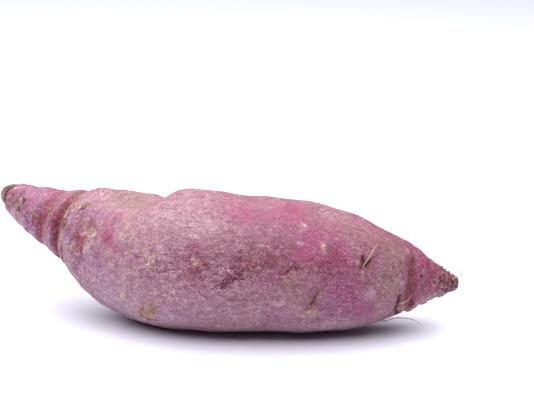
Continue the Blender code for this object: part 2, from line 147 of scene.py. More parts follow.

# Slits, wrinkles, cracks and scars, written in the same way
# The dark brown and crease inks of these slits, cracks and crease hearts are partly the marks' own colour,
# partly painted shade inside them.
FINE_STROKES = {
    "stalk crack": (-0.5, ((5.7, 66, 0.3), (4.9, 46, 0.45), (4.3, 29, 0.6), (5, 9, 0.6), (6, -8, 0.3)),
        ("soil", 1, 1.3)),
    "stalk top crack": (-0.4, ((5.6, 70, 0.3), (6.4, 76, 0.5), (5.8, 90, 0.4)), ("soil", 0.8, 1.2)),
    "stalk back crack": (-0.5, ((5.4, 130, 0.3), (4.4, 170, 0.6), (5.2, 215, 0.5), (4.6, 250, 0.3)),
        ("soil", 0.9, 1.2)),
    "ring patch edge": (-0.3, ((14.2, 37, 0.25), (15.7, 32, 0.6), (16.3, 25, 0.4)),
        ("soil", 0.85, 1.5)),
    "ring patch foot": (-0.3, ((13.8, -1, 0.25), (15.2, 4, 0.5), (14.3, 11, 0.35)),
        ("soil", 0.85, 1.4)),
    "ring patch side": (-0.25, ((11.7, 17, 0.25), (11.4, 10, 0.35), (12.6, 3, 0.25)),
        ("soil", 0.55, 1.2)),
    "neck scribble": (-0.2, ((18.6, 6, 0.25), (19.6, 0, 0.35), (20.6, 5, 0.25), (22, 3, 0.3),
        (23.2, -6, 0.25)), ("soil", 0.42, 1.3)),
    "neck scuff": (-0.2, ((19, -14, 0.3), (19.5, -22, 0.55), (19.2, -31, 0.35)), ("cork", 0.7, 1.4)),
    "first crease heart": (-0.3, ((30, 40, 0.3), (29.9, 22, 0.7), (29.5, 6, 0.7), (29.2, -9, 0.7),
        (28.9, -24, 0.6)), ("crease", 0.9, 1.2), ("soil", 0.35, 0.7)),
    "first crease foot": (-0.2, ((29.2, -20, 0.5), (29.1, -25, 0.8)), ("soil", 0.75, 1)),
    "ochre wrinkle": (-0.2, ((30.6, 43, 0.25), (31.2, 36, 0.35), (31.3, 20, 0.3)),
        ("cork", 0.9, 3), ("soil", 0.5, 0.9)),
    "brown line": (-0.3, ((33.7, 44, 0.2), (33.2, 38, 0.4), (32.5, 31, 0.25)),
        ("soil", 0.85, 1.3), ("cork", 1, 4)),
    "short brown line": (-0.25, ((31.3, 33, 0.2), (31.9, 28, 0.3)),
        ("soil", 0.65, 1.2), ("cork", 0.9, 3.5)),
    "deep crease heart": (-0.4, ((38.5, 52, 0.4), (39, 40, 0.8), (39.4, 26, 0.9), (39.5, 8, 1),
        (39.2, -10, 1.2), (39.2, -28, 0.9)), ("crease", 1, 1.2), ("soil", 0.46, 0.7)),
    "ridge streak": (0.3, ((42.2, 35, 0.25), (42.4, 28, 0.45), (41.4, 18, 0.25)), ("straw", 1, 1.4)),
    "ridge slit": (-0.35, ((43, 30, 0.2), (43.6, 24, 0.35), (43.2, 19, 0.2)), ("soil", 0.8, 1.2)),
    "ridge dash": (-0.3, ((42, 18, 0.2), (43.2, 16, 0.3), (44.8, 18, 0.3)), ("soil", 0.7, 1.2)),
    "thin crease heart": (-0.35, ((44.1, -7, 0.2), (44.3, -14, 0.35), (44.9, -23, 0.55),
        (44.7, -35, 0.35)), ("soil", 0.85, 1.2), ("olive", 0.5, 1.6)),
    "collar lens": (-0.45, ((47.6, 47, 0.25), (48.1, 51, 0.8), (48.8, 56, 0.9), (49.7, 59, 0.4)),
        ("cork", 1.2, 1.1), ("olive", 0.6, 0.95)),
    "collar lens corner": (-0.4, ((47.4, 46, 0.25), (48, 49, 0.35), (48.9, 52, 0.2)), ("soil", 1, 1.5)),
    "wine line": (-0.15, ((51.8, 21, 0.5), (52.6, 17, 1.1), (54.8, 18, 0.8), (55.5, 13, 0.5),
        (56.2, 9, 0.6), (57, 1, 0.3)),
        ("wine", 0.75, 1.4), ("crease", 0.62, 1.1), ("russet", 0.9, 2.4)),
    "pale collar line": (0.1, ((52.7, 21, 0.2), (54.1, 24, 0.3), (55.8, 29, 0.2)), ("bloom", 1.2, 1.6)),
    "collar scribble": (-0.2, ((49.3, 10, 0.3), (50.6, 6, 0.3), (48.7, 5, 0.3), (50.2, 1, 0.3)),
        ("soil", 0.52, 1.3)),
    "valley nick": (-0.25, ((56.2, 81, 0.3), (58.6, 77, 0.3)), ("soil", 0.5, 1.2)),
    "pit right": (-0.5, ((115.1, 8, 0.5), (114.5, 6, 0.95), (113.5, 4, 0.6)), ("pits", 1.2, 1.25)),
    "pit middle": (-0.5, ((113.2, 4, 0.5), (112, 2, 1.15), (110.6, 0, 1.1), (109.4, -3, 0.5)),
        ("pits", 1.1, 1.3)),
    "pit left": (-0.35, ((108.7, -2, 0.45), (107.6, -4, 0.3)), ("pits", 0.7, 1.2)),
    "pit crumb": (-0.3, ((113.4, 9, 0.45), (113.9, 10, 0.35)), ("wine", 0.9, 1.3)),
    "pit upper crumb": (-0.3, ((113, 15, 0.35), (115.2, 13, 0.45)), ("wine", 0.8, 1.2)),
    "pit lip": (0.35, ((107.2, -7, 0.2), (108.8, -5, 0.35), (110.6, -4, 0.3), (112.2, -1, 0.45),
        (114, 1, 0.35), (116, 4, 0.25)), ("bloom", 0.45, 1)),
    "nick left": (-0.3, ((127.3, 12, 0.4), (128.5, 11, 0.8), (130.2, 12, 0.5)),
        ("wine", 0.9, 1.2), ("pits", 0.85, 1.1)),
    "nick right": (-0.3, ((130.4, 13, 0.4), (131.8, 16, 0.65), (133.4, 16, 0.8)),
        ("wine", 0.9, 1.2), ("pits", 0.85, 1.1)),
    "nick lip": (0.15, ((127.6, 9, 0.3), (130.4, 10, 0.3), (133, 13, 0.3)), ("bloom", 0.35, 1.2)),
    "split scar": (0.4, ((87, -22, 1), (85.2, -28, 1.5), (83.4, -36, 1.6)),
        ("straw", 2, 1.1), ("ochre", 0.55, 1.2)),
    "split scar foot": (-0.35, ((85.2, -42, 0.4), (82.9, -44, 0.5), (81, -39, 0.5), (81.7, -32, 0.4),
        (84, -26, 0.3)), ("soil", 0.5, 1.2), ("ochre", 0.8, 2.4)),
    "split scar side": (-0.3, ((87.3, -21, 0.3), (87.5, -27, 0.4), (86, -33, 0.3)),
        ("soil", 0.42, 1.2), ("ochre", 0.8, 2.6)),
    "lower slit": (-0.75, ((142.3, -1, 0.5), (141.9, -6, 0.85), (141.3, -11, 1.1), (140.4, -16, 1.25),
        (139.2, -21, 1)), ("olive", 1, 1.15)),
    "lower slit heart": (-0.3, ((141.8, -7, 0.35), (141.2, -12, 0.75), (140.3, -17, 0.45)),
        ("soil", 0.66, 1)),
    "lower slit lip": (0.35, ((140.9, -1, 0.4), (140.1, -7, 0.5), (139.1, -13, 0.4)),
        ("bloom", 0.6, 1.3), ("orchid", 0.7, 1.8)),
    # Round the upper slit, the crease ink that reaches wide, most on its right, is partly a painted
    # reddish-brown shadow beside the slit, and the dark brown in it is partly painted shade.
    "upper slit": (-1, ((156.3, 35, 0.3), (156.4, 30, 0.7), (157, 26, 0.9), (156.5, 21, 0.35)),
        ("soil", 0.88, 1.15), ("crease", 1, 2)),
    "upper slit right": (-0.6, ((157.4, 25, 0.7), (158.4, 29, 0.8), (159.3, 34, 0.35)),
        ("soil", 0.72, 1), ("crease", 1, 2)),
    "upper slit lip": (0.35, ((154.9, 34, 0.6), (154.7, 28, 0.7), (155.3, 21, 0.5)),
        ("bloom", 0.35, 1.2)),
    "lower lenticel": (-0.15, ((142.4, 42, 0.4), (142.5, 38, 0.6), (142.9, 34, 0.4)),
        ("ochre", 0.45, 1.5), ("straw", 1.2, 1.1)),
    "olive dash": (-0.3, ((154.4, -6, 0.35), (155.2, -7, 0.2), (156.3, -8, 0.4)),
        ("soil", 0.75, 1.4), ("olive", 0.8, 2.2)),
    "groove heart": (-0.3, ((176.9, 50, 0.4), (176.4, 36, 0.6), (175.9, 20, 0.8), (175.7, 4, 0.9),
        (175.5, -11, 0.6)), ("crease", 1.4, 1.1), ("soil", 0.44, 0.8)),
    "tip slit": (-1, ((172.6, -9, 0.3), (172.5, -16, 0.55), (172.6, -26, 0.8), (172.2, -32, 0.5)),
        ("soil", 0.8, 1), ("crease", 1.1, 1.9)),
    "tip slit foot": (-0.7, ((172.6, -36, 0.4), (173.6, -47, 0.5), (174.2, -58, 0.3)),
        ("soil", 0.7, 1), ("crease", 1, 1.8)),
    "tip fold": (0.5, ((174.6, -22, 0.7), (175.4, -34, 0.8), (175.8, -48, 0.7)), ("straw", 0.9, 1.2)),
    "tip pit": (-0.9, ((178.4, -26, 0.7), (179, -34, 1.1), (178.4, -41, 0.7)),
        ("crease", 1.2, 1.2), ("soil", 0.6, 0.9)),
    "rough edge": (0.6, ((178.5, -58, 1.2), (184, -65, 1.8), (189.5, -69, 1.8), (193, -58, 1.2)),
        ("rough", 1, 1.4), ("bloom", 1.3, 1.3), ("straw", 0.8, 1)),
    "tip pit rim": (0.5, ((177, -22, 0.5), (176.9, -36, 0.5), (178.2, -49, 0.6), (180.4, -46, 0.6),
        (181, -34, 0.6), (180.4, -24, 0.5)), ("bloom", 0.6, 1.1), ("straw", 0.6, 1.1)),
    "knob crack": (-0.5, ((190.6, 44, 0.2), (190.4, 30, 0.5), (191.2, 14, 0.3)), ("soil", 0.7, 1.2)),
    "last crack": (-0.9, ((195.6, 60, 0.4), (196.4, 24, 0.6), (196, -6, 0.4)), ("soil", 0.8, 1.2)),
    "last crack behind": (-0.5, ((192.4, 140, 0.3), (194.2, 176, 0.5), (193.4, 220, 0.3)),
        ("soil", 0.7, 1.2)),
    "back slit": (-1, ((112.4, 160, 0.35), (111.6, 166, 0.8), (110.8, 172, 0.9), (110, 178, 0.35)),
        ("soil", 1, 1.1), ("crease", 0.6, 1.9)),
    "back slit lip": (0.35, ((114, 161, 0.5), (113, 168, 0.6), (112, 177, 0.5)), ("bloom", 0.5, 1.2)),
    "back split": (-0.9, ((66, 204, 0.35), (67.4, 211, 0.8), (68.4, 217, 0.8), (69.4, 224, 0.35)),
        ("olive", 1, 1.15), ("soil", 0.6, 0.6)),
    "under slit": (-0.8, ((128, 235, 0.3), (127, 242, 0.8), (126, 251, 0.3)), ("soil", 0.9, 1.1)),
    "under wrinkle": (-0.3, ((98, -52, 0.3), (103, -54, 0.55), (107, -56, 0.3)), ("wine", 0.8, 1.3)),
    "hind nick": (-0.4, ((142, 212, 0.3), (143.6, 215, 0.6), (146, 214, 0.3)), ("pits", 1, 1.1)),
    "high nick": (-0.4, ((96, 124, 0.3), (97.4, 127, 0.6), (100.4, 127, 0.4)), ("pits", 1, 1.1)),
}

# Round eyes and pits: place along, turn, half width, height
EYES = {
    "ring patch": (13.8, 18, 2.6, -0.15, ("cork", 1.3, 1), ("olive", 0.58, 0.95)),
    "neck dot": (25.2, 18, 0.95, -0.25, ("ochre", 0.85, 1.1), ("cork", 0.8, 2.2)),
    "tip eye": (180.5, 23, 0.8, -0.3, ("soil", 0.72, 1.2), ("bloom", 0.9, 2.2)),
    "last eye": (187.6, 15, 0.7, -0.4, ("soil", 0.7, 1.1), ("straw", 1.1, 2)),
    "belly eye": (153.3, 39, 0.5, -0.3, ("soil", 0.75, 1.2)),
    "upper lenticel": (135.4, 57, 0.9, -0.15, ("straw", 1, 1.3), ("ochre", 0.42, 0.8)),
    "pale disc": (76.2, -17, 1.7, 0.22, ("straw", 3, 0.75)),
    "purple dot": (105.3, 15, 0.75, -0.25, ("wine", 1, 1.2), ("pits", 0.6, 0.9)),
    "crimson dot": (127.6, 24, 0.45, -0.15, ("wine", 1, 1.5)),
    "high crimson dot": (128.2, 36, 0.4, -0.15, ("wine", 0.9, 1.4)),
    "mole": (115.2, 19, 0.5, -0.2, ("wine", 0.9, 1.3), ("pits", 0.55, 1)),
    "left dot": (84.1, 18, 0.42, -0.15, ("wine", 1.2, 1.4), ("pits", 0.7, 0.9)),
    "cone speck": (188.2, -38, 0.6, -0.3, ("pits", 0.9, 1.2)),
    "back eye": (92, 148, 1.3, -0.5, ("olive", 0.7, 1), ("bloom", 0.6, 1.9)),
    "far eye": (135, 150, 1.1, -0.4, ("soil", 0.6, 0.9), ("bloom", 0.5, 1.9)),
    "hind eye": (164, 178, 1.1, -0.5, ("olive", 0.7, 1)),
    "rear eye": (55, 172, 1.2, -0.5, ("soil", 0.6, 0.9), ("straw", 0.5, 1.8)),
    "high eye": (120, 118, 1, -0.4, ("straw", 1, 1.2), ("ochre", 0.5, 0.8)),
    "low back eye": (150, 232, 1.1, -0.4, ("olive", 0.6, 1), ("bloom", 0.5, 1.8)),
}

# Washes of colour: place along, turn, reach along, reach round, strength
WASHES = {
    # The long rose washes over the top, at places 14, 105 and 163 and turns 78 to 100, darken the upper
    # side: painted shade of things lying above it. The other rose washes are pinker skin.
    "rose": (
        (146, 24, 22, 28, 0.5), (144, 34, 5, 8, 0.3), (150, -28, 15, 16, 0.45), (133, 62, 15, 16, 0.6),
        (120, 14, 12, 12, 0.45), (98, 24, 13, 9, 0.35), (184, 20, 11, 30, 0.95), (103, 6, 4, 10, 0.5),
        (138, 54, 6, 10, 0.5), (190, 4, 8, 12, 0.5), (105, 78, 26, 9, 0.6), (14, 78, 12, 8, 0.6),
        (26, 22, 8, 8, 0.4), (36, 26, 4, 8, 0.7), (54, 15, 5, 10, 0.55), (65, 30, 8, 8, 0.6),
        (112, 60, 9, 8, 0.45), (162, 62, 14, 14, 0.4), (163, 100, 20, 14, 0.5), (118, 160, 26, 20, 0.6),
        (160, 190, 20, 24, 0.7), (75, 185, 14, 18, 0.5), (24, 190, 16, 12, 0.5),
        (184, 200, 12, 30, 0.9), (132, 232, 22, 16, 0.6),
    ),
    "russet": (
        (103, 8, 4, 7, 0.5), (118, 13, 10, 7, 0.35), (112, 22, 12, 6, 0.2), (128, 20, 8, 7, 0.4),
        (146, 24, 7, 9, 0.55), (52.1, 37, 3, 4, 0.7), (56, 34, 4, 5, 0.7), (36, -14, 3, 7, 0.5),
        (158, -42, 8, 4.5, 0.3), (54.6, 5, 2.2, 4, 0.7), (97, -42, 3, 4.5, 0.4),
        (158.4, 22, 5, 6, 0.45), (46, 38, 2.5, 4, 0.4), (182, 30, 5, 5, 0.4),
    ),
    "flush": (
        (131, 76, 3.3, 3.8, 1.5), (133, 68, 3, 3, 0.8), (88.8, 3, 3, 1.8, 0.5), (128, 70, 5.8, 5, 0.6),
        (116, 61, 2.6, 4.9, 0.5), (138.5, 47, 4.5, 4, 0.75), (138, 29, 4.5, 3, 0.6),
        (135, 32, 2.4, 2.2, 0.6), (149, 25, 3.5, 3.1, 0.5), (147, 40, 3.2, 4.9, 0.5),
        (102, 28, 2.6, 2.4, 0.55), (112, 62, 3.5, 3.1, 0.5), (123, 59, 4.9, 4.1, 0.4),
        (66, 30, 3.2, 3.2, 0.95), (72, 24, 2.6, 2, 0.5), (77, 20, 2, 1.5, 0.5), (34, 66, 3.6, 4.5, 0.6),
        (16, 80, 8, 3, 0.35), (20.6, 34, 2.2, 2.6, 0.7), (36.3, 24, 1.5, 2.6, 1),
        (28, 17, 2.2, 2.5, 0.7), (59.8, 24, 1.4, 1.4, 0.7), (64, 50, 4.4, 5, 0.5), (181, 36, 5, 4, 0.6),
        (145, 12, 18, 22, 0.18), (160, -26, 7, 6, 0.5), (32, 48, 3, 3, 0.45), (126, 8, 2.2, 1.8, 0.6),
        (190, 26, 4, 3, 0.5), (181, 60, 4, 4, 0.5), (170, -14, 4, 4, 0.35), (153, 0, 6, 6, 0.5),
    ),
    "orchid": (
        (151.6, 2, 3, 4, 0.5), (153, 0, 8, 6, 0.2), (159, -20, 5, 5, 0.7), (127, -30, 5.4, 4.8, 0.5),
        (114, -14, 4, 3.5, 0.3), (97, -29, 4.9, 4.6, 0.4), (10, 45, 3, 4, 1.3),
        (18.6, 44, 2.2, 2.6, 0.8), (22, 74, 14, 9, 1), (30, 50, 7, 6, 0.5), (21, -16, 6, 5, 0.75),
        (26, 2, 2.4, 3, 0.9), (88.8, 3, 3.2, 1.8, 0.6), (46.8, 17, 1.8, 4, 0.85), (48, 34, 2.2, 4, 0.6),
        (36, 0, 2.2, 5, 0.6), (35, -24, 3, 3.5, 0.7), (56, 52, 4.2, 3.5, 0.8), (50, 52, 3, 3, 0.6),
        (62, 46, 4, 3, 0.4), (124.5, 12, 2.4, 2, 0.7), (125.6, 5, 2.4, 2, 0.5),
        (120.4, 46, 2.2, 1.8, 0.5), (64, 10, 4, 4.5, 0.5), (72, -6, 9, 9, 0.35), (55.5, -8, 4, 6, 0.5),
        (147, -12, 5, 5, 0.4),
    ),
    # The bloom washes low on the front, at turns -30 to -52, lighten the underside that the overhead light
    # leaves darker: partly the paler film there, partly painted light. The others are the pale film.
    "bloom": (
        (91, 54, 7, 6, 0.45), (76, -4, 7, 7.5, 0.4), (77, -27, 5, 5, 0.25), (93, -40, 8, 5, 0.35),
        (59, 12, 1.6, 5, 0.6), (101, 48, 5, 4.3, 0.4), (66, -6, 9, 9, 0.3), (68, -32, 9, 7, 0.55),
        (84, -34, 12, 8, 0.35), (142, -50, 22, 6, 0.5), (151, -44, 10, 6, 0.5), (106, -52, 20, 5, 0.25),
        (135, -28, 4.9, 4.5, 0.3), (128, -14, 5, 4.6, 0.3), (142, 100, 7, 7.2, 0.2),
        (62, 14, 9, 9, 0.35), (82, -47, 8, 4, 0.4), (164, -25, 9, 6, 0.4), (161.1, -3, 1.6, 1.7, 1),
        (134.5, 40, 1.6, 1.2, 0.8), (153.9, 42, 1.2, 1, 1), (16.9, 60, 1.6, 1.4, 0.9),
        (22.9, 38, 1.5, 1.5, 0.9), (20.3, 59, 1.2, 1.2, 0.8), (12.9, 66, 2.2, 1.6, 0.8),
        (54, 107, 7.7, 5.4, 0.5), (135.6, 54, 1.6, 2, 0.7), (143, 39, 1.4, 3.4, 0.65),
        (107, 48, 3.5, 3.4, 0.4), (52, 47, 2.2, 6, 0.6), (178.5, 58, 1.4, 2, 0.9),
        (50.6, 5, 2.2, 2.6, 0.8), (46.9, 5, 0.9, 2.2, 0.8), (59.8, 8, 0.9, 0.6, 0.9),
        (55.5, 0, 0.8, 0.6, 0.8), (113, -30, 12, 9, 0.25), (47, 60, 2.4, 3, 0.5), (187, -52, 5, 2, 0.9),
        (192, -32, 3, 0.9, 0.8), (198.6, 0, 1.2, 2.4, 0.9), (102.4, 37, 2, 0.5, 0.8),
        (96, -10, 12, 10, 0.3), (157.3, -32, 1, 0.7, 0.8), (14, -24, 6, 3, 0.5),
    ),
    "straw": (
        (76.1, 43, 2.2, 2.6, 1), (74.7, 33, 1.4, 1.8, 0.9), (80.4, 33, 2, 2.4, 0.9),
        (86.4, 24, 1.7, 0.9, 0.9), (88.9, 15, 3.2, 3.2, 0.6), (82.4, 5, 1.9, 1.6, 0.85),
        (103.4, 12, 1.8, 2, 0.5), (102.7, 17, 1.4, 1.6, 0.42), (119.4, 32, 1.6, 1.1, 0.6),
        (57.5, 26, 2, 3.2, 0.95), (2, 30, 2.2, 8, 0.5), (118, -38, 4, 3, 0.45),
        (109, -41, 3.2, 3, 0.35), (139.4, -25, 2.6, 1.5, 1.6), (141.2, -23, 1.4, 1.2, 0.9),
        (51, 3, 1.6, 3, 0.4), (42.2, 10, 0.8, 4, 0.85), (42.4, 40, 1, 5, 0.8), (42.7, 4, 0.8, 6, 0.6),
        (42.7, -14, 1, 5, 0.75), (50.4, 57, 1, 1, 0.9), (55, 72, 2.2, 4, 0.5), (187, -46, 7, 2, 0.5),
        (174.8, 61, 1.2, 1.4, 0.7), (88, 49, 3, 2.6, 0.3), (6.3, 27, 1, 1.6, 0.9),
        (7.8, 50, 1.4, 2.4, 0.6), (156.5, 17, 1, 1, 0.7), (131, 6, 5, 3, 0.3), (45.6, 50, 1.8, 5, 0.5),
        (181.4, 33, 1.4, 1.4, 0.7), (189.4, 25, 1.2, 1, 0.7), (193.4, 40, 0.7, 1, 0.9),
        (194.6, 6, 1, 1.2, 1), (197.6, 34, 0.8, 1.2, 0.9), (198.4, -20, 1, 1.4, 0.8),
    ),
    # The cork washes at places 68 and 60, turns 79 and 92, tan the hollow behind the neck: partly its tan
    # skin, partly painted shade of the hollow.
    "cork": (
        (2, 20, 2.6, 8, 1), (2, 120, 2.6, 8, 1), (2, 240, 2.6, 8, 1), (14, 18, 2.6, 3.6, 1),
        (8.4, -4, 1.6, 2.2, 0.9), (7, 40, 1.4, 3, 0.6), (68, 79, 13, 6, 1), (60, 92, 10, 6, 0.5),
        (36.6, 51, 2.6, 2.4, 0.8), (32.4, 39, 2.4, 3.6, 1.1), (41.5, 55, 2, 4, 0.8),
        (54, 6, 1.4, 2, 0.7), (82, 3, 2, 1.6, 0.3), (168, 22, 5, 11, 0.6), (167, -2, 4, 6, 0.3),
        (172, 50, 4, 6, 0.45), (166, 66, 10, 7, 0.35), (193, 10, 3.4, 5, 0.5), (193, 100, 3.4, 5, 0.5),
        (193, 200, 3.4, 5, 0.6), (198.5, 20, 2, 6, 0.3), (198.5, 200, 2, 6, 0.7), (131, 8, 5, 4, 0.45),
        (133, -2, 5, 6, 0.5), (137, -12, 6, 4, 0.35), (147, 78, 10, 5, 0.5), (152, 52, 4, 5, 0.35),
        (122, 8, 3, 3, 0.3), (43.2, 64, 1.6, 3, 0.6), (172, -34, 3, 3, 0.5), (30, 96, 5, 8, 0.5),
        (36, 220, 6, 6, 0.5),
    ),
    "wine": (
        (131.5, 75, 2.4, 2.8, 1.2), (66.5, 29, 1.8, 2, 0.6), (146.8, 33, 3.2, 3.2, 0.55),
        (102.4, 27, 1.2, 1, 0.6), (145.9, 59, 0.6, 0.7, 0.9), (100.5, -50, 2.6, 0.8, 0.6),
        (36.6, 19, 1.2, 2.2, 0.7), (185, 45, 6, 5, 0.35), (184, 8, 6, 5, 0.3), (144.8, 26, 3, 2.5, 0.4),
        (7.7, -9, 1.2, 1.6, 0.6), (183, -20, 6, 4, 0.25), (194, 42, 4, 5, 0.6), (26, 66, 14, 6, 0.3),
        (10, 45, 3, 4, 0.4), (25.5, 4, 2.2, 2.6, 0.5), (148, 15, 2.4, 2.4, 0.3), (172, 66, 5, 4, 0.3),
        (135, 32, 1.4, 1.2, 0.5), (27.6, 10, 0.9, 3, 0.5),
    ),
    "ochre": (
        (14, 42, 0.8, 0.8, 0.7), (51, 58, 0.9, 0.8, 0.75), (30.9, 41, 0.8, 1.2, 0.6),
        (31.3, 19, 0.6, 1, 0.6), (24.2, 17, 0.9, 0.7, 0.7), (146.2, 17, 0.7, 0.7, 0.5),
        (54.2, 4, 0.9, 1.6, 0.5), (56, 21, 1, 0.8, 0.45), (139.6, -25, 1.4, 0.9, 0.4),
        (102, 20, 0.8, 0.8, 0.5),
    ),
    "olive": (
        (14.4, -3, 0.9, 0.8, 0.8), (151.3, -10, 0.7, 0.8, 0.5), (137, 17, 1.4, 0.7, 0.5),
        (141.3, 18, 0.9, 0.7, 0.55), (147.3, 12, 0.8, 0.8, 0.6), (174.5, 63, 0.6, 0.6, 0.7),
        (104, 9, 1.4, 0.8, 0.4), (53.6, 4, 0.8, 1, 0.5), (143.2, 36, 0.5, 0.5, 0.6),
        (24.6, 23, 0.6, 0.6, 0.5), (2.4, 20, 2.4, 8, 0.52), (5, 58, 1.4, 4, 0.5),
    ),
    "speckle": (
        (110, 14, 17, 10, 0.65), (124, 18, 10, 8, 0.5), (150, 20, 12, 12, 0.6), (92, 8, 9, 8, 0.4),
        (90, 55, 14, 12, 0.3), (113, 8, 6, 4, 0.6),
    ),
    "pits": (
        (112.4, 5, 3.4, 1.6, 0.3), (118, 12, 3, 2, 0.2),
    ),
    "soil": (
        (15.6, 28, 0.9, 1.2, 0.6), (6.5, 68, 1.4, 3, 0.6), (86.2, -39, 1, 0.6, 0.6),
        (181.2, 20, 1.2, 1.2, 0.35), (187.8, 17, 0.8, 0.8, 0.4),
    ),
}

# Washes on the sides that the front doesn't show, drawn from a seed: tint, count, reach, strength
HIDDEN_WASHES = (
    ("flush", 14, (2.5, 7.0), (0.4, 0.9)),
    ("wine", 12, (0.8, 2.6), (0.5, 0.9)),
    ("orchid", 10, (3.0, 8.0), (0.35, 0.7)),
    ("russet", 9, (3.0, 8.0), (0.4, 0.6)),
    ("cork", 6, (2.0, 6.0), (0.3, 0.6)),
    ("straw", 16, (1.0, 3.0), (0.5, 0.9)),
    ("bloom", 14, (2.5, 8.0), (0.35, 0.65)),
    ("ochre", 6, (0.7, 1.2), (0.5, 0.9)),
    ("speckle", 7, (8.0, 16.0), (0.5, 0.9)),
)
HIDDEN_TURNS = (100.0, 282.0)
HIDDEN_PLACES = (12.0, 188.0)
HIDDEN_SEED = 20
TINTS = ("rose", "bloom", "orchid", "flush", "russet", "straw", "cork", "wine", "ochre", "olive", "crease",
         "soil", "pits", "speckle", "rough")

# Noise of the skin in layers: seed, size along, size round, height. The first two sets push the marks
# about, along and round the root: broad ones in full, fine ones and washes by the shares that follow
WANDER_ALONG = ((11, 4.5, 4.5, 0.55), (12, 1.6, 1.6, 0.25))
WANDER_ROUND = ((13, 4.5, 4.5, 0.70), (14, 1.6, 1.6, 0.30))
FINE_WANDER = 0.4
WASH_WANDER = 2.2

# The other layers are small relief: on the belly, on the ringed ends, and on the broken stalk and tip
BELLY_GRAIN = ((21, 9.0, 7.0, 0.16), (22, 4.0, 3.2, 0.07), (23, 1.6, 1.3, 0.04))
END_WRINKLES = ((24, 1.5, 9.0, 0.24), (25, 2.8, 12.0, 0.26), (26, 1.3, 1.6, 0.12))
END_LUMPS = ((27, 1.6, 1.6, 0.65), (28, 0.75, 0.75, 0.45))

# Where the relief of the ends sets in: (from, to) along the root
NECK_FADE = (50.0, 76.0)
TIP_FADE = (168.0, 184.0)
KNOB_FADE = (188.5, 192.0)
STALK_FADE = (4.0, 8.0)

# Share of the belly's grain that the ends lose, radius under which wrinkles shrink with the root, and how
# strong the lumps are on the stalk scar and on the rough edge, where the tip has 1
GRAIN_LOSS = 0.4
WRINKLE_RADIUS = 6.0
STALK_LUMPS = 0.6
EDGE_LUMPS = 0.6

# Cells along each side of a block of random numbers
LATTICE_CELLS = 64

# How much each of red, green and blue changes with the grain: pale dust lifts the weak green most
DUST_WEIGHTS = (0.84, 1.16, 1.02)

# The fine mesh: where its rings draw closer (place, reach, how much), over how many places they are counted
# out, and how much closer its points lie round the front turn
CLOSE_ZONES = ((4.5, 4.5, 1.3), (15.0, 4.0, 0.8), (30.5, 3.5, 1.1), (41.0, 4.0, 1.6), (50.5, 4.0, 0.9),
               (112.0, 4.5, 1.0), (140.5, 3.5, 0.9), (157.5, 3.0, 1.0), (175.0, 5.0, 1.5),
               (194.0, 6.0, 2.4))
COUNTED_PLACES = 4001
FRONT_TURN = 18.0
FRONT_CLOSENESS = 0.28

# Half steps along and round the root over which the skin's directions are measured
LINE_STEP = 0.5
SPOT_STEP = 0.6
SPOT_TWIST = 3.0

# Root hairs on the skin: base and end half width, then (place, turn, height over the skin)
SKIN_HAIRS = {
    "slit hair": (0.36, 0.13, ((156.8, 22, -0.3), (157.2, 27, 0.2), (158, 32, 0.7), (159.4, 40, 1.5),
        (161.2, 49, 2.2))),
    "slit hair strand": (0.13, 0.05, ((156.4, 20, -0.2), (157, 25, 0.3), (157.8, 31, 0.9))),
    "pit hair": (0.22, 0.1, ((172.9, -24, -0.2), (173.4, -21, 0.7), (174.8, -17, 1.5),
        (176.7, -12, 2))),
    "pit hair strand": (0.13, 0.05, ((172.4, -27, -0.2), (173.6, -24, 0.7), (174.8, -20, 1.1))),
    "back hair": (0.22, 0.06, ((111, 170, -0.3), (112, 166, 1), (115, 163, 2.4), (119, 163, 2.8))),
    "hind hair": (0.2, 0.06, ((164, 178, -0.3), (165, 182, 1.2), (168, 186, 2.2), (172, 187, 2))),
    "under hair": (0.18, 0.06, ((127, 244, -0.2), (129, 240, 0.6), (133, 238, 0.9), (137, 239, 0.4))),
}

# Root hairs that stand free: base and end half width, (place, turn) of the root, then points (x, y, z)
FREE_HAIRS = {
    "low hair": (0.24, 0.1, (170, -84), ((67.4, -12, 4.5), (70.6, -12.2, 4.8), (73.4, -12.2, 4.6),
        (75.7, -12.2, 4), (77.3, -12.2, 3.2), (78.5, -12, 2.2))),
    "tip hair": (0.24, 0.09, (196.4, 40), ((93.8, -6.6, 20.3), (94.7, -6.6, 21), (94.6, -6.4, 22.2),
        (93.4, -6.2, 23.5), (91.8, -6, 24.5), (90.1, -5.8, 25.4))),
}

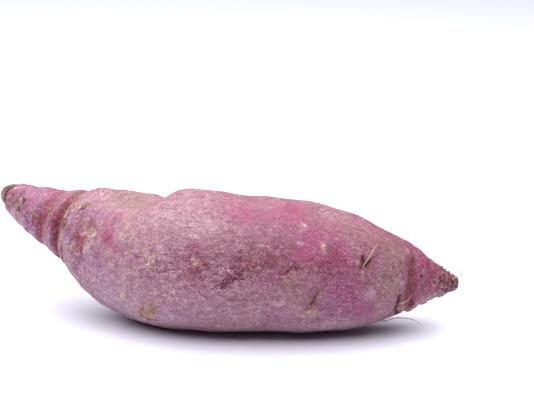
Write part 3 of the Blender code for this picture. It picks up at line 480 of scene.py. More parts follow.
# Papery flakes: place, turn, heading over the skin (0 runs along it), length, width, rise of the free end
FLAKES = (
    (112.6, 40, 1, 4.6, 0.5, 0.1), (113, 42, 2, 2, 0.3, 0.08), (120.3, 69, 5, 3.4, 0.4, 0.1),
    (101.6, 37, 2, 2.4, 0.4, 0.1), (61.2, 34, 55, 2, 0.4, 0.12), (141.2, 84, -10, 2.2, 0.9, 0.25),
    (143.2, 80, 10, 1.8, 0.8, 0.2), (148.6, 97, 20, 2.2, 0.9, 0.3), (151.8, 99, -5, 2, 0.8, 0.3),
    (154.4, 96, 25, 2, 0.7, 0.3), (156.6, 88, 0, 1.8, 0.7, 0.25), (156.8, -34, 50, 1.6, 0.6, 0.2),
    (109.2, -55, -30, 1.5, 0.8, 0.45), (98.6, -52, 5, 2.2, 0.7, 0.15), (119, 88, 0, 2.4, 0.8, 0.2),
    (125, 92, 15, 2, 0.7, 0.2), (182.6, -46, 10, 1.8, 1, 0.3), (185.4, -50, -15, 1.8, 0.9, 0.35),
    (188, -48, 10, 1.6, 0.8, 0.35), (190.6, -42, 30, 1.5, 0.8, 0.35), (192.6, -40, 0, 1.4, 0.7, 0.3),
    (181, -58, 10, 2.4, 1.2, 0.5), (184.5, -62, -10, 2.6, 1.2, 0.55), (187.5, -65, 5, 2.2, 1.1, 0.5),
    (190.5, -63, -15, 2, 1, 0.45), (174.6, -55, 25, 1.6, 0.9, 0.3), (177.6, -52, -10, 1.6, 0.8, 0.3),
)

# A flake's half thickness, how deep it starts in the skin, its width from end to end, and the limits
# between which each of those widths is drawn larger or smaller
FLAKE_THICKNESS = 0.07
FLAKE_DEPTH = 0.03
FLAKE_OUTLINE = (0.5, 1.0, 0.85, 1.0, 0.55)
FLAKE_RAGGEDNESS = (0.7, 1.25)

# Flakes drawn from a seed: count, places, turns, and for all of them headings, lengths, widths and rises
LOOSE_FLAKES = ((10, (20, 70), (100, 230)), (12, (75, 165), (96, 225)), (10, (174, 190), (150, 320)),
                (5, (174, 190), (-66, -40)), (8, (118, 160), (80, 104)))
LOOSE_FORM = ((-40, 40), (0.9, 2.2), (0.4, 0.9), (0.08, 0.28))

# Fuzz of the tip drawn from a seed: count, places, turns, lengths, headings. Then its base and end half
# width, the height of its base, the heights of its middle and end in lengths, and where it ends at most
TIP_FUZZ = (14, (190, 197), (-60, 300), (1.0, 2.4), (-50, 50))
FUZZ_WIDTHS = (0.10, 0.04)
FUZZ_BASE = -0.2
FUZZ_RISE = (0.35, 0.45)
FUZZ_END = 198.0
LOOSE_SEED = 31

# Heights over the skin of the first two points of a free hair
FREE_HAIR_BASE = (-0.4, 0.5)

# Corners and rings of the tubes that hairs and flakes are made of
HAIR_TUBE = (6, 22)
FREE_HAIR_TUBE = (6, 30)
FLAKE_TUBE = (8, 11)


def smooth_through(at, knots, values):
    """Cubic through the values at the knots, with no bend at its two ends."""
    count = len(knots)
    gaps = np.diff(knots)
    matrix = np.eye(count)
    pull = np.zeros(values.shape)
    for i in range(1, count - 1):
        matrix[i, i - 1:i + 2] = gaps[i - 1], 2 * (gaps[i - 1] + gaps[i]), gaps[i]
        pull[i] = 6 * ((values[i + 1] - values[i]) / gaps[i] - (values[i] - values[i - 1]) / gaps[i - 1])
    bend = np.linalg.solve(matrix, pull)
    span = np.clip(np.searchsorted(knots, at) - 1, 0, count - 2)
    gap = gaps[span]
    before = (knots[span + 1] - at) / gap
    after = (at - knots[span]) / gap
    if values.ndim > 1:
        gap, before, after = gap[..., None], before[..., None], after[..., None]
    line = before * values[span] + after * values[span + 1]
    curve = (before ** 3 - before) * bend[span] + (after ** 3 - after) * bend[span + 1]
    return line + curve * gap ** 2 / 6


def smooth_round(turn, points):
    """Closed smooth curve through (turn, value, ...) points, repeated a full turn either side."""
    table = np.array(sorted(points), dtype=float)
    angles = np.concatenate([table[:, 0] + full_turn for full_turn in (-360.0, 0.0, 360.0)])
    return smooth_through(turn, angles, np.tile(table[:, 1:], (3, 1)))


def path_places(points):
    """Distance of each point along the broken line through them."""
    steps = np.linalg.norm(np.diff(points, axis=0), axis=1)
    return np.concatenate([[0.0], np.cumsum(steps)])


ROOT_LINE = np.array(STATIONS)
ROOT_KNOTS = path_places(ROOT_LINE[:, :3])


def end_rounding(away, reach, squareness):
    """Grows from 0 at the end itself to 1 at the rounding's reach, along a superellipse."""
    left = 1 - np.clip(away / reach, 0, 1)
    return (1 - left ** squareness) ** (1 / squareness)


def wrapped(turn):
    """The same turn between -180 and 180 degrees."""
    return (turn + 180.0) % 360.0 - 180.0


def bump(distance, half_width):
    """Rounded profile of height 1 that has gone to nothing at about twice its half width."""
    return np.exp(-(distance / half_width) ** 2)


def fade(value, start, end):
    """Eases from 0 at the start to 1 at the end."""
    share = np.clip((value - start) / (end - start), 0, 1)
    return share * share * (3 - 2 * share)


def stroke_reach(along, turn, radius, points):
    """Distance over the skin, unrolled at the local radius, to a broken line of points, counted in the
    half widths of the line, which run evenly from each point to the next."""
    nearest = np.full(along.shape, np.inf)
    for (place, angle, width), (next_place, next_angle, next_width) in zip(points, points[1:]):
        step_along = next_place - place
        step_round = radius * math.radians(next_angle - angle)
        off_along = along - place
        off_round = radius * np.radians(wrapped(turn - angle))
        share = (off_along * step_along + off_round * step_round) / (step_along ** 2 + step_round ** 2)
        share = np.clip(share, 0, 1)
        miss = np.hypot(off_along - share * step_along, off_round - share * step_round)
        nearest = np.minimum(nearest, miss / (width + share * (next_width - width)))
    return nearest


@lru_cache(maxsize=None)
def lattice(seed):
    """A block of random numbers between -1 and 1."""
    return np.random.default_rng(seed).uniform(-1.0, 1.0, (LATTICE_CELLS,) * 3)


def lattice_noise(points, sizes, seed):
    """Smooth noise between -1 and 1: random numbers on a lattice with the given cell sizes along x, y
    and z, blended from the 8 corners of each point's cell by eased shares. It repeats after a block."""
    grid = points / np.asarray(sizes)
    cell = np.floor(grid).astype(int)
    share = grid - cell
    share = share * share * (3 - 2 * share)
    numbers = lattice(seed)
    total = np.zeros(points.shape[:-1])
    for corner in product((0, 1), repeat=3):
        weight = np.prod(np.where(corner, share, 1 - share), axis=-1)
        i, j, k = np.moveaxis((cell + corner) % LATTICE_CELLS, -1, 0)
        total += weight * numbers[i, j, k]
    return total


def layered_noise(bar, layers):
    """Sum over the layers of height * noise, in mm, on the straightened skin."""
    return sum(rise * lattice_noise(bar, (long, wide, wide), seed) for seed, long, wide, rise in layers)


def straightened(along, turn, radius):
    """The skin as a straight round bar, on which noise has no seam: place along, then round it."""
    angle = np.radians(turn)
    return np.stack([along, radius * np.cos(angle), radius * np.sin(angle)], axis=-1)


def marks(along, turn, radius, bar):
    """Each band, stroke and eye in turn: its height, the distance to its middle in half widths, and its
    tints. The places are pushed about by noise first, so that no mark is a ruled line."""
    push_along = layered_noise(bar, WANDER_ALONG)
    push_round = np.degrees(layered_noise(bar, WANDER_ROUND) / np.maximum(radius, 1.0))
    for half_width, points, *inks in BANDS.values():
        band = smooth_round((turn + push_round) % 360.0, points)
        yield band[..., 1], np.abs(along + push_along - band[..., 0]) / half_width, inks
    for strokes, share in ((STROKES, 1.0), (FINE_STROKES, FINE_WANDER)):
        near_along = along + share * push_along
        near_turn = turn + share * push_round
        for rise, points, *inks in strokes.values():
            yield rise, stroke_reach(near_along, near_turn, radius, points), inks
    for place, angle, half_width, rise, *inks in EYES.values():
        miss = np.hypot(near_along - place, radius * np.radians(wrapped(near_turn - angle)))
        yield rise, miss / half_width, inks


def relief_and_inks(along, turn, radius, bar):
    """How far the skin stands out from its plain section, and the tints laid in its marks.

    Height is the sum over all marks of height * exp(-(distance / half width)^2), plus slow swells, the
    belly's grain, the ends' wrinkles and the lumps of the two broken ends. A mark's tints have the same
    profile, each with its own reach. They fade where a sunken band does, so that a band's crease ink is
    strongest where it sinks deepest: partly its own maroon, partly painted shade. Where marks of one
    tint meet, the stronger counts.
    """
    tints = {tint: np.zeros(along.shape) for tint in TINTS}
    height = np.zeros(along.shape)
    for rise, length, waves, phase_along, phase_round in SWELLS:
        wave_along = np.sin(np.radians(360.0 * along / length + phase_along))
        wave_round = np.cos(np.radians(waves * turn + phase_round))
        height += rise * wave_along * wave_round * radius / BELLY_RADIUS
    for rise, distance, inks in marks(along, turn, radius, bar):
        height += rise * bump(distance, 1.0)
        deepest = np.min(rise)
        share = rise / deepest if np.ndim(rise) and deepest < 0 else 1.0
        for tint, strength, spread in inks:
            ink = strength * np.clip(share, 0, 1) * bump(distance, spread)
            tints[tint] = np.maximum(tints[tint], ink)

    ends = 1 - fade(along, *NECK_FADE) + fade(along, *TIP_FADE)
    height += layered_noise(bar, BELLY_GRAIN) * (1 - GRAIN_LOSS * ends)
    height += layered_noise(bar, END_WRINKLES) * ends * np.minimum(radius / WRINKLE_RADIUS, 1.0)
    broken = STALK_LUMPS * (1 - fade(along, *STALK_FADE)) + fade(along, *KNOB_FADE)
    broken = np.maximum(broken, EDGE_LUMPS * tints.pop("rough"))
    height += layered_noise(bar, END_LUMPS) * broken
    tints["broken"] = broken
    tints["ringed"] = ends
    return height, tints


def hidden_washes():
    """Washes for the back and the underside, at places and turns drawn from a seed."""
    draw = np.random.default_rng(HIDDEN_SEED)
    drawn = {}
    for tint, count, reaches, strengths in HIDDEN_WASHES:
        drawn[tint] = tuple(
            (draw.uniform(*HIDDEN_PLACES), draw.uniform(*HIDDEN_TURNS), draw.uniform(*reaches),
             draw.uniform(*reaches), draw.uniform(*strengths))
            for _ in range(count)
        )
    return drawn


def lay_washes(along, turn, radius, bar, tints):
    """Adds each wash to its tint: strength * exp(-(off along / reach)^2 - (off round / reach)^2), on a
    skin whose places are first pushed about by noise, so that a wash has a ragged outline."""
    pushed_along = along + WASH_WANDER * layered_noise(bar, WANDER_ALONG)
    pushed_round = np.radians(turn) * radius + WASH_WANDER * layered_noise(bar, WANDER_ROUND)
    pushed_turn = np.degrees(pushed_round / np.maximum(radius, 1.0))
    hidden = hidden_washes()
    for tint, washes in WASHES.items():
        for place, angle, long, wide, strength in washes + hidden.get(tint, ()):
            off_along = (pushed_along - place) / long
            off_round = radius * np.radians(wrapped(pushed_turn - angle)) / wide
            tints[tint] += strength * np.exp(-off_along ** 2 - off_round ** 2)


def skin(along, turn, washed=False):
    """Points of the skin in mm and its tints, for arrays of places along the root and turns round it.

    point = centre + (half width + relief) * rounding * cos(turn) * front
                   + (half height + relief) * rounding * sin(turn) * top
    where front is level and square to the centre line, top is square to both, and the rounding closes
    the two ends. Whatever would lie below z = 0 is pressed flat at z = 0. Only a washed skin has its
    washes of colour and its place on the straightened bar.
    """
    centre = smooth_through(along, ROOT_KNOTS, ROOT_LINE[:, :3])
    halves = smooth_through(along, ROOT_KNOTS, ROOT_LINE[:, 3:])
    ahead = smooth_through(np.clip(along + LINE_STEP, 0, ROOT_KNOTS[-1]), ROOT_KNOTS, ROOT_LINE[:, :3])
    behind = smooth_through(np.clip(along - LINE_STEP, 0, ROOT_KNOTS[-1]), ROOT_KNOTS, ROOT_LINE[:, :3])
    line = ahead - behind
    line /= np.linalg.norm(line, axis=-1, keepdims=True)
    front = np.cross(line, (0.0, 0.0, 1.0))
    front /= np.linalg.norm(front, axis=-1, keepdims=True)
    top = np.cross(front, line)

    radius = halves.mean(axis=-1)
    bar = straightened(along, turn, radius)
    height, tints = relief_and_inks(along, turn, radius, bar)
    rounding = end_rounding(along, *STALK_END) * end_rounding(ROOT_KNOTS[-1] - along, *TIP_END)
    reach_front = (halves[..., 1] + height) * rounding * np.cos(np.radians(turn))
    reach_top = (halves[..., 0] + height) * rounding * np.sin(np.radians(turn))
    points = centre + reach_front[..., None] * front + reach_top[..., None] * top
    points[..., 2] = np.maximum(points[..., 2], 0.0)
    if washed:
        lay_washes(along, turn, radius, bar, tints)
        tints["unrolled"] = bar
    return points, tints


def skin_spot(along, turn):
    """Points on the skin and the directions straight out of it there."""
    points = skin(along, turn)[0]
    over_along = skin(along + SPOT_STEP, turn)[0] - skin(along - SPOT_STEP, turn)[0]
    over_turn = skin(along, turn + SPOT_TWIST)[0] - skin(along, turn - SPOT_TWIST)[0]
    out = np.cross(over_along, over_turn)
    return points, out / np.linalg.norm(out, axis=-1, keepdims=True)


def skin_radius(place):
    """Mean half thickness of the root at a place along it."""
    return smooth_through(np.array([float(place)]), ROOT_KNOTS, ROOT_LINE[:, 3:]).mean()


def ring_turns(points):
    """Turns of the points in a ring, which lie closer together on the front of the root:
    turn = u - closeness * sin(u - front turn), for evenly spread u."""
    even = np.arange(points) * math.tau / points
    return np.degrees(even - FRONT_CLOSENESS * np.sin(even - math.radians(FRONT_TURN)))


def ring_places(rings):
    """Places of the rings, evenly spread over a count that rises faster in the close zones."""
    fine = np.linspace(0, ROOT_KNOTS[-1], COUNTED_PLACES)
    rate = np.ones(fine.shape)
    for place, reach, extra in CLOSE_ZONES:
        rate += extra * bump(fine - place, reach)
    count = np.concatenate([[0.0], np.cumsum((rate[1:] + rate[:-1]) / 2)])
    return np.interp(np.linspace(0, count[-1], rings), count, fine)


def tube(path, out, half_width, half_thickness, corners, rings):
    """Rings of an oval tube along a smooth path that closes to a point at both ends.

    ring point = path + half thickness * end * cos(angle) * out + half width * end * sin(angle) * side,
    where side is square to the path and to out, and end falls to 0 at the tube's two ends.
    """
    knots = path_places(path)
    at = np.linspace(0, knots[-1], rings)
    centre = smooth_through(at, knots, path)
    line = np.gradient(centre, axis=0)
    line /= np.linalg.norm(line, axis=1, keepdims=True)
    side = np.cross(np.broadcast_to(out, line.shape), line)
    side /= np.linalg.norm(side, axis=1, keepdims=True)
    up = np.cross(line, side)
    share = np.linspace(0, 1, rings)
    end = np.clip(np.minimum(share, 1 - share) * (rings - 1), 0, 1)
    wide = np.interp(share, np.linspace(0, 1, len(half_width)), half_width) * end
    thick = np.interp(share, np.linspace(0, 1, len(half_thickness)), half_thickness) * end
    angle = np.arange(corners) * math.tau / corners
    ring = thick[:, None, None] * np.cos(angle)[None, :, None] * up[:, None]
    ring = ring + wide[:, None, None] * np.sin(angle)[None, :, None] * side[:, None]
    return centre[:, None] + ring


def closed_mesh(name, shells, tints=None):
    """One mesh of closed shells. Each shell is a grid of rings by points whose first and last ring are
    a single point; its faces are quads between rings and a fan at each end, and they face outwards."""
    points, quads, fans, first = [], [], [], 0
    for grid in shells:
        rings, around = grid.shape[0] - 2, grid.shape[1]
        points += [grid[0, :1], grid[1:-1].reshape(-1, 3), grid[-1, :1]]
        index = first + 1 + np.arange(rings * around).reshape(rings, around)
        ahead = np.roll(index, -1, axis=1)
        last = first + 1 + rings * around
        quads.append(np.stack([index[:-1], index[1:], ahead[1:], ahead[:-1]], axis=-1).reshape(-1, 4))
        fans.append(np.stack([np.full(around, first), index[0], ahead[0]], axis=-1))
        fans.append(np.stack([np.full(around, last), ahead[-1], index[-1]], axis=-1))
        first = last + 1
    mesh = bpy.data.meshes.new(name)
    faces = np.concatenate(quads).tolist() + np.concatenate(fans).tolist()
    mesh.from_pydata((np.concatenate(points) * MM).tolist(), [], faces)
    for tint, values in (tints or {}).items():
        kind, field = ("FLOAT_VECTOR", "vector") if values.ndim == 3 else ("FLOAT", "value")
        flat = np.concatenate([values[0, :1].ravel(), values[1:-1].ravel(), values[-1, :1].ravel()])
        layer = mesh.attributes.new(name=tint, type=kind, domain="POINT")
        layer.data.foreach_set(field, flat.astype(np.float32))
    mesh.shade_smooth()
    mesh.update()
    return mesh


def add_piece(name, shells, material, tints=None):
    """Adds closed shells as one piece of the object that rides on the root."""
    mesh = closed_mesh(name, shells, tints)
    mesh.materials.append(material)
    piece = bpy.data.objects.new(name, mesh)
    bpy.context.scene.collection.objects.link(piece)
    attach(piece, BODY)
    return piece


class Wire:
    """A socket of a material. Sums, differences and products of wires with numbers add Math nodes."""

    def __init__(self, socket):
        self.socket = socket

    def node(self, kind, settings=None, values=None, out=0):
        """Adds a node: its settings are set first, then its sockets get their values or links."""
        tree = self.socket.id_data
        made = tree.nodes.new(kind)
        for name, setting in (settings or {}).items():
            setattr(made, name, setting)
        for name, value in (values or {}).items():
            if isinstance(value, Wire):
                tree.links.new(value.socket, made.inputs[name])
            else:
                made.inputs[name].default_value = value
        return Wire(made.outputs[out])

    def maths(self, operation, *terms):
        """Adds a Math node on the given terms."""
        return self.node("ShaderNodeMath", {"operation": operation}, dict(enumerate(terms)))

    def __add__(self, other):
        return self.maths("ADD", self, other)

    def __radd__(self, other):
        return self.maths("ADD", other, self)

    def __sub__(self, other):
        return self.maths("SUBTRACT", self, other)

    def __rsub__(self, other):
        return self.maths("SUBTRACT", other, self)

    def __mul__(self, other):
        return self.maths("MULTIPLY", self, other)

    def __rmul__(self, other):
        return self.maths("MULTIPLY", other, self)

    def eased(self, low, high):
        """0 at low, 1 at high, an eased climb between them and level beyond."""
        return self.node("ShaderNodeMapRange", {"interpolation_type": "SMOOTHSTEP"},
                         {"Value": self, "From Min": low, "From Max": high})

    def dusted(self, amount, weights):
        """This colour times 1 + (e ^ amount - 1) * weights: lighter where the amount is positive, darker
        where it is negative, and never black."""
        rise = self.maths("EXPONENT", amount) - 1.0
        share = self.node("ShaderNodeVectorMath", {"operation": "SCALE"}, {0: weights, "Scale": rise})
        terms = {0: self, 1: share, 2: self}
        return self.node("ShaderNodeVectorMath", {"operation": "MULTIPLY_ADD"}, terms)


class Finish:
    """A new material: its Principled shader, the ground colour that tints are laid on, and the place in
    millimetres at which its noise patterns are read."""

    def __init__(self, name, colours=None, ground=None):
        self.material = bpy.data.materials.new(name)
        self.material.use_nodes = True
        self.shader = self.material.node_tree.nodes["Principled BSDF"]
        self.start = Wire(self.shader.inputs["Base Color"])
        self.colours = colours
        self.ground = ground
        self.place = None

    def object_place(self):
        """The place on the object, in millimetres."""
        metres = self.start.node("ShaderNodeTexCoord", out="Object")
        return metres.node("ShaderNodeVectorMath", {"operation": "SCALE"}, {0: metres, "Scale": 1 / MM})

    def tint(self, name, out="Fac"):
        """One of the mesh's own attributes."""
        return self.start.node("ShaderNodeAttribute", {"attribute_name": name}, out=out)

    def noise(self, size, detail=2.0, roughness=0.5, stretch=(1.0, 1.0, 1.0), shift=0.0, distortion=0.0):
        """Noise whose grains are about so many mm, stretched along the axes, around 0.5."""
        scale = tuple(1 / (size * share) for share in stretch)
        mapping = {0: self.place, "Location": (shift, shift, shift), "Scale": scale}
        at = self.place.node("ShaderNodeMapping", None, mapping)
        return at.node("ShaderNodeTexNoise", {"noise_dimensions": "3D"},
                       {"Vector": at, "Scale": 1.0, "Detail": detail, "Roughness": roughness,
                        "Distortion": distortion})

    def lay(self, tint, share):
        """Lays one of the colours over the ground, as thickly as the share says."""
        layers = {0: share, 6: self.ground, 7: rgba(getattr(self.colours, tint))}
        self.ground = share.node("ShaderNodeMix", {"data_type": "RGBA"}, layers, out=2)

    def feed(self, **links):
        """Links wires to the shader's sockets, named with underscores for spaces."""
        for name, wire in links.items():
            self.material.node_tree.links.new(wire.socket, self.shader.inputs[name.replace("_", " ")])

    def set(self, **values):
        """Sets numbers that are the same all over the surface."""
        for name, value in values.items():
            self.shader.inputs[name.replace("_", " ")].default_value = value


def rgba(colour):
    """A colour with full cover, as sockets take it."""
    return (colour[0], colour[1], colour[2], 1.0)


def skin_finish(colours, sizes):
    """Dull mauve-pink skin: speckled ground, washes of pink, violet, red-brown, tan and pale bloom,
    pitted patches, and dark creases and slits. The dark of the creases, slits and broken ends is partly
    painted shade, some rose washes paint shade over the top, and some bloom washes low on the front are
    partly painted light."""
    finish = Finish("dusty_mauve_skin", colours, rgba(colours.dusty))
    finish.place = finish.tint("unrolled", "Vector")
    grain = finish.noise(1.7, 3.5, 0.82, (1.3, 1.0, 1.0))
    fine = finish.noise(0.45, 1.0, 0.5, shift=31.0)
    specks = finish.noise(0.95, 1.5, 0.6, (1.2, 1.0, 1.0), 57.0)
    flecks = finish.noise(0.8, 1.0, 0.5, shift=149.0)
    edge = finish.noise(2.4, 3.5, 0.7, shift=101.0, distortion=0.4)
    mottle = finish.noise(5.0, 3.0, 0.62, shift=83.0)
    drift = finish.noise(26.0, 2.0, 0.5, (1.3, 1.0, 1.0), 11.0)
    streaks = finish.noise(1.6, 2.0, 0.6, (0.8, 4.0, 4.0), 173.0)
    fibres = finish.noise(0.75, 2.0, 0.6, (2.8, 1.0, 1.0), 331.0)
    patches = finish.noise(2.4, 2.5, 0.62, (1.0, 1.7, 1.7), 211.0)
    blots = finish.noise(3.0, 2.5, 0.62, (0.8, 1.9, 1.9), 263.0)
    splinters = finish.noise(1.7, 3.0, 0.7, (1.7, 0.9, 0.9), 307.0)
    rose, ringed, broken = map(finish.tint, ("rose", "ringed", "broken"))
    speckle, pits = map(finish.tint, ("speckle", "pits"))

    # The ground and its blots, which are broader on the ringed ends
    rosiness = rose + (mottle - 0.5) * 1.6 + (drift - 0.5) * 0.9
    finish.lay("rose", rosiness.eased(0.10, 1.0))
    finish.lay("grey", (mottle * 0.6 + edge * 0.4).eased(0.50, 0.66) * 0.4)
    broad = ringed * 0.6 + 0.4
    violet = broad * (1.0 - rose * 0.6)
    for tint, blot, low, high, where, reach in (
        ("orchid", patches, 0.50, 0.62, violet, 0.75), ("bloom", blots, 0.53, 0.66, violet, 0.55),
        ("flush", patches, 0.48, 0.35, broad, 0.45), ("cork", blots, 0.47, 0.35, broad, 0.8),
        ("wine", streaks, 0.53, 0.66, ringed, 0.5),
    ):
        finish.lay(tint, blot.eased(low, high) * where * reach)

    # Washes with ragged outlines, and the dark and pale grains over them
    for tint, full, reach in (
        ("russet", 0.8, 0.9), ("bloom", 1.0, 0.9), ("orchid", 0.8, 0.9), ("flush", 0.8, 0.9),
        ("straw", 0.9, 0.9), ("cork", 0.8, 0.95), ("wine", 0.7, 0.95),
    ):
        cover = finish.tint(tint) * ((edge - 0.5) * 2.6 + (grain - 0.5) * 0.8 + 1.0)
        finish.lay(tint, cover.eased(0.08, full) * reach)
    finish.lay("speck", specks.eased(0.52, 0.64) * (speckle * 0.65 + ringed * 0.12 + 0.12))
    finish.lay("fleck", flecks.eased(0.62, 0.72) * (speckle * 0.2 + ringed * 0.2 + 0.12))

    # Creases, corky and dark marks, broken ends and pits; the crease and dark brown inks are partly painted
    # shade in the hollows
    crease = finish.tint("crease") * ((edge - 0.5) * 2.0 + (streaks - 0.5) * 1.2 + 1.0)
    finish.lay("crease", crease.eased(0.25, 0.75) * 0.95)
    for tint in ("ochre", "olive", "soil"):
        mark = finish.tint(tint)
        cover = (mark + (edge - 0.5) * mark.eased(0.05, 0.35) * 1.2).eased(0.32, 0.62)
        finish.lay(tint, cover * 0.95)
    finish.lay("crease", patches.eased(0.54, 0.42) * broken * 0.8)
    # On the broken ends: dark brown where the splinters noise is low and pale flecks where it is high. The
    # bump raises the skin by the same noise, so these are painted shade in the gaps and painted highlight
    # on the lumps.
    finish.lay("soil", splinters.eased(0.50, 0.42) * broken * 0.8)
    finish.lay("fleck", splinters.eased(0.58, 0.68) * broken * 0.7)
    ragged = (pits + (flecks - 0.5) * pits.eased(0.05, 0.35) * 2.4).eased(0.42, 0.60)
    finish.lay("pit", ragged * 0.9)
    finish.lay("fleck", fine.eased(0.62, 0.68) * pits.eased(0.5, 0.9) * 0.55)

    # Grain that lightens and darkens the colour, softer on worn skin and on healed spots
    contrast = (grain - 0.5) * 2.3 + (fine - 0.5) * (ringed * 0.8 + 2.0)
    contrast = contrast + (fibres - 0.5) * (1.0 - ringed) * 0.8
    contrast = contrast + (streaks - 0.5) * ringed * 1.4
    upper = finish.place.node("ShaderNodeSeparateXYZ", None, {0: finish.place}, out=2).eased(4.0, 24.0)
    worn = upper * (1.0 - rose * 0.8) * 0.3 + finish.tint("bloom") * 0.25
    contrast = contrast * (speckle * 0.55 + ringed * 0.15 - worn + 1.0)
    healed = finish.tint("straw").eased(1.9, 2.8)
    contrast = contrast * (1.0 - healed * 0.4) + healed * 0.18
    ground = finish.ground.dusted(contrast, DUST_WEIGHTS)

    dullness = (grain - 0.5) * 0.3 + (finish.tint("crease") + finish.tint("soil")) * 0.15 + 0.52
    height = grain + fine * 0.15 + streaks * ringed * 0.5 + splinters * broken
    bumped = height.node("ShaderNodeBump", None, {"Strength": 0.42, "Distance": sizes.grain_height,
                                                   "Height": height}, out="Normal")
    finish.feed(Base_Color=ground, Roughness=dullness, Normal=bumped)
    finish.set(Metallic=0.0, Specular_IOR_Level=0.32)
    return finish.material


def hair_finish(colours):
    """Dry straw-coloured root hair, browner in patches."""
    finish = Finish("dry_root_hair", colours, rgba(colours.hair))
    finish.place = finish.object_place()
    patch = finish.noise(1.6, 2.0, 0.6)
    finish.lay("cork", patch.eased(0.45, 0.7) * 0.6)
    finish.feed(Base_Color=finish.ground, Roughness=patch * 0.2 + 0.5)
    finish.set(Metallic=0.0)
    return finish.material


def flake_finish(colours):
    """Papery skin lifted from the root: pale, with pink and brown patches."""
    finish = Finish("papery_flake", colours, rgba(colours.fleck))
    finish.place = finish.object_place()
    patch = finish.noise(0.9, 3.0, 0.65)
    blotch = finish.noise(3.0, 2.0, 0.6, shift=20.0)
    finish.lay("dusty", patch.eased(0.35, 0.60) * 0.8)
    finish.lay("cork", blotch.eased(0.5, 0.65) * 0.6)
    finish.feed(Base_Color=finish.ground, Roughness=patch * 0.2 + 0.55)
    finish.set(Metallic=0.0)
    return finish.material


def build_skin(settings):
    """The skin's grid of rings by points, closed at both ends, with its tints as attributes."""
    sizes = settings.sizes
    places = ring_places(sizes.rings)
    along, turn = np.meshgrid(places, ring_turns(sizes.points_round), indexing="ij")
    points, tints = skin(along, turn, washed=True)
    piece = add_piece("sweet_potato_skin", [points], skin_finish(settings.colours, sizes), tints)
    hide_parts(NODE)


def hair_on_skin(base_width, end_width, points):
    """A tapered round hair through points given by place, turn and height over the skin."""
    table = np.array(points, dtype=float)
    on_skin, out = skin_spot(table[:, 0], table[:, 1])
    widths = (base_width, end_width)
    return tube(on_skin + out * table[:, 2:], out.mean(axis=0), widths, widths, *HAIR_TUBE)


def free_hair(base_width, end_width, root, points):
    """A tapered round hair that leaves the skin at its root and runs through points in the air."""
    on_skin, out = skin_spot(np.array([float(root[0])]), np.array([float(root[1])]))
    base = [on_skin + height * out for height in FREE_HAIR_BASE]
    path = np.concatenate(base + [np.array(points, dtype=float)])
    widths = (base_width, end_width)
    return tube(path, (0.0, -1.0, 0.0), widths, widths, *FREE_HAIR_TUBE)


def drawn_fuzz(draw):
    """Short fine hairs on the broken tip, at places, turns and headings drawn from the seed."""
    count, places, turns, lengths, headings = TIP_FUZZ
    middle, end = FUZZ_RISE
    for _ in range(count):
        place, turn = draw.uniform(*places), draw.uniform(*turns)
        length, heading = draw.uniform(*lengths), math.radians(draw.uniform(*headings))
        twist = math.degrees(0.5 * length * math.sin(heading) / skin_radius(place))
        reach = min(0.5 * length * math.cos(heading), (FUZZ_END - place) / 2)
        yield *FUZZ_WIDTHS, ((place, turn, FUZZ_BASE), (place + reach, turn + twist, middle * length),
                             (place + 2 * reach, turn + 2 * twist, end * length))


def build_hairs(settings):
    """All root hairs in one mesh: the listed ones and the tip's drawn fuzz."""
    draw = np.random.default_rng(LOOSE_SEED)
    shells = [hair_on_skin(*hair) for hair in SKIN_HAIRS.values()]
    shells += [free_hair(*hair) for hair in FREE_HAIRS.values()]
    shells += [hair_on_skin(*hair) for hair in drawn_fuzz(draw)]
    add_piece("root_hairs", shells, hair_finish(settings.colours))


def flake(place, turn, heading, length, width, lift, draw):
    """A thin oval shell that starts in the skin and rises from it towards its free end."""
    share = np.linspace(0, 1, len(FLAKE_OUTLINE))
    angle = math.radians(heading)
    along = place + share * length * math.cos(angle)
    turns = turn + np.degrees(share * length * math.sin(angle) / skin_radius(place))
    on_skin, out = skin_spot(along, turns)
    path = on_skin + out * (lift * share ** 2 - FLAKE_DEPTH)[:, None]
    ragged = draw.uniform(*FLAKE_RAGGEDNESS, len(FLAKE_OUTLINE))
    widths = 0.5 * width * np.array(FLAKE_OUTLINE) * ragged
    return tube(path, out.mean(axis=0), widths, (FLAKE_THICKNESS, FLAKE_THICKNESS), *FLAKE_TUBE)


def drawn_flakes(draw):
    """Small flakes at places, turns and headings drawn from the seed."""
    for count, *limits in LOOSE_FLAKES:
        for _ in range(count):
            yield tuple(draw.uniform(*pair) for pair in (*limits, *LOOSE_FORM))


def build_flakes(settings):
    """All papery flakes in one mesh: the listed ones and the drawn ones."""
    draw = np.random.default_rng(LOOSE_SEED + 1)
    shells = [flake(*each, draw) for each in FLAKES + tuple(drawn_flakes(draw))]
    add_piece("skin_flakes", shells, flake_finish(settings.colours))


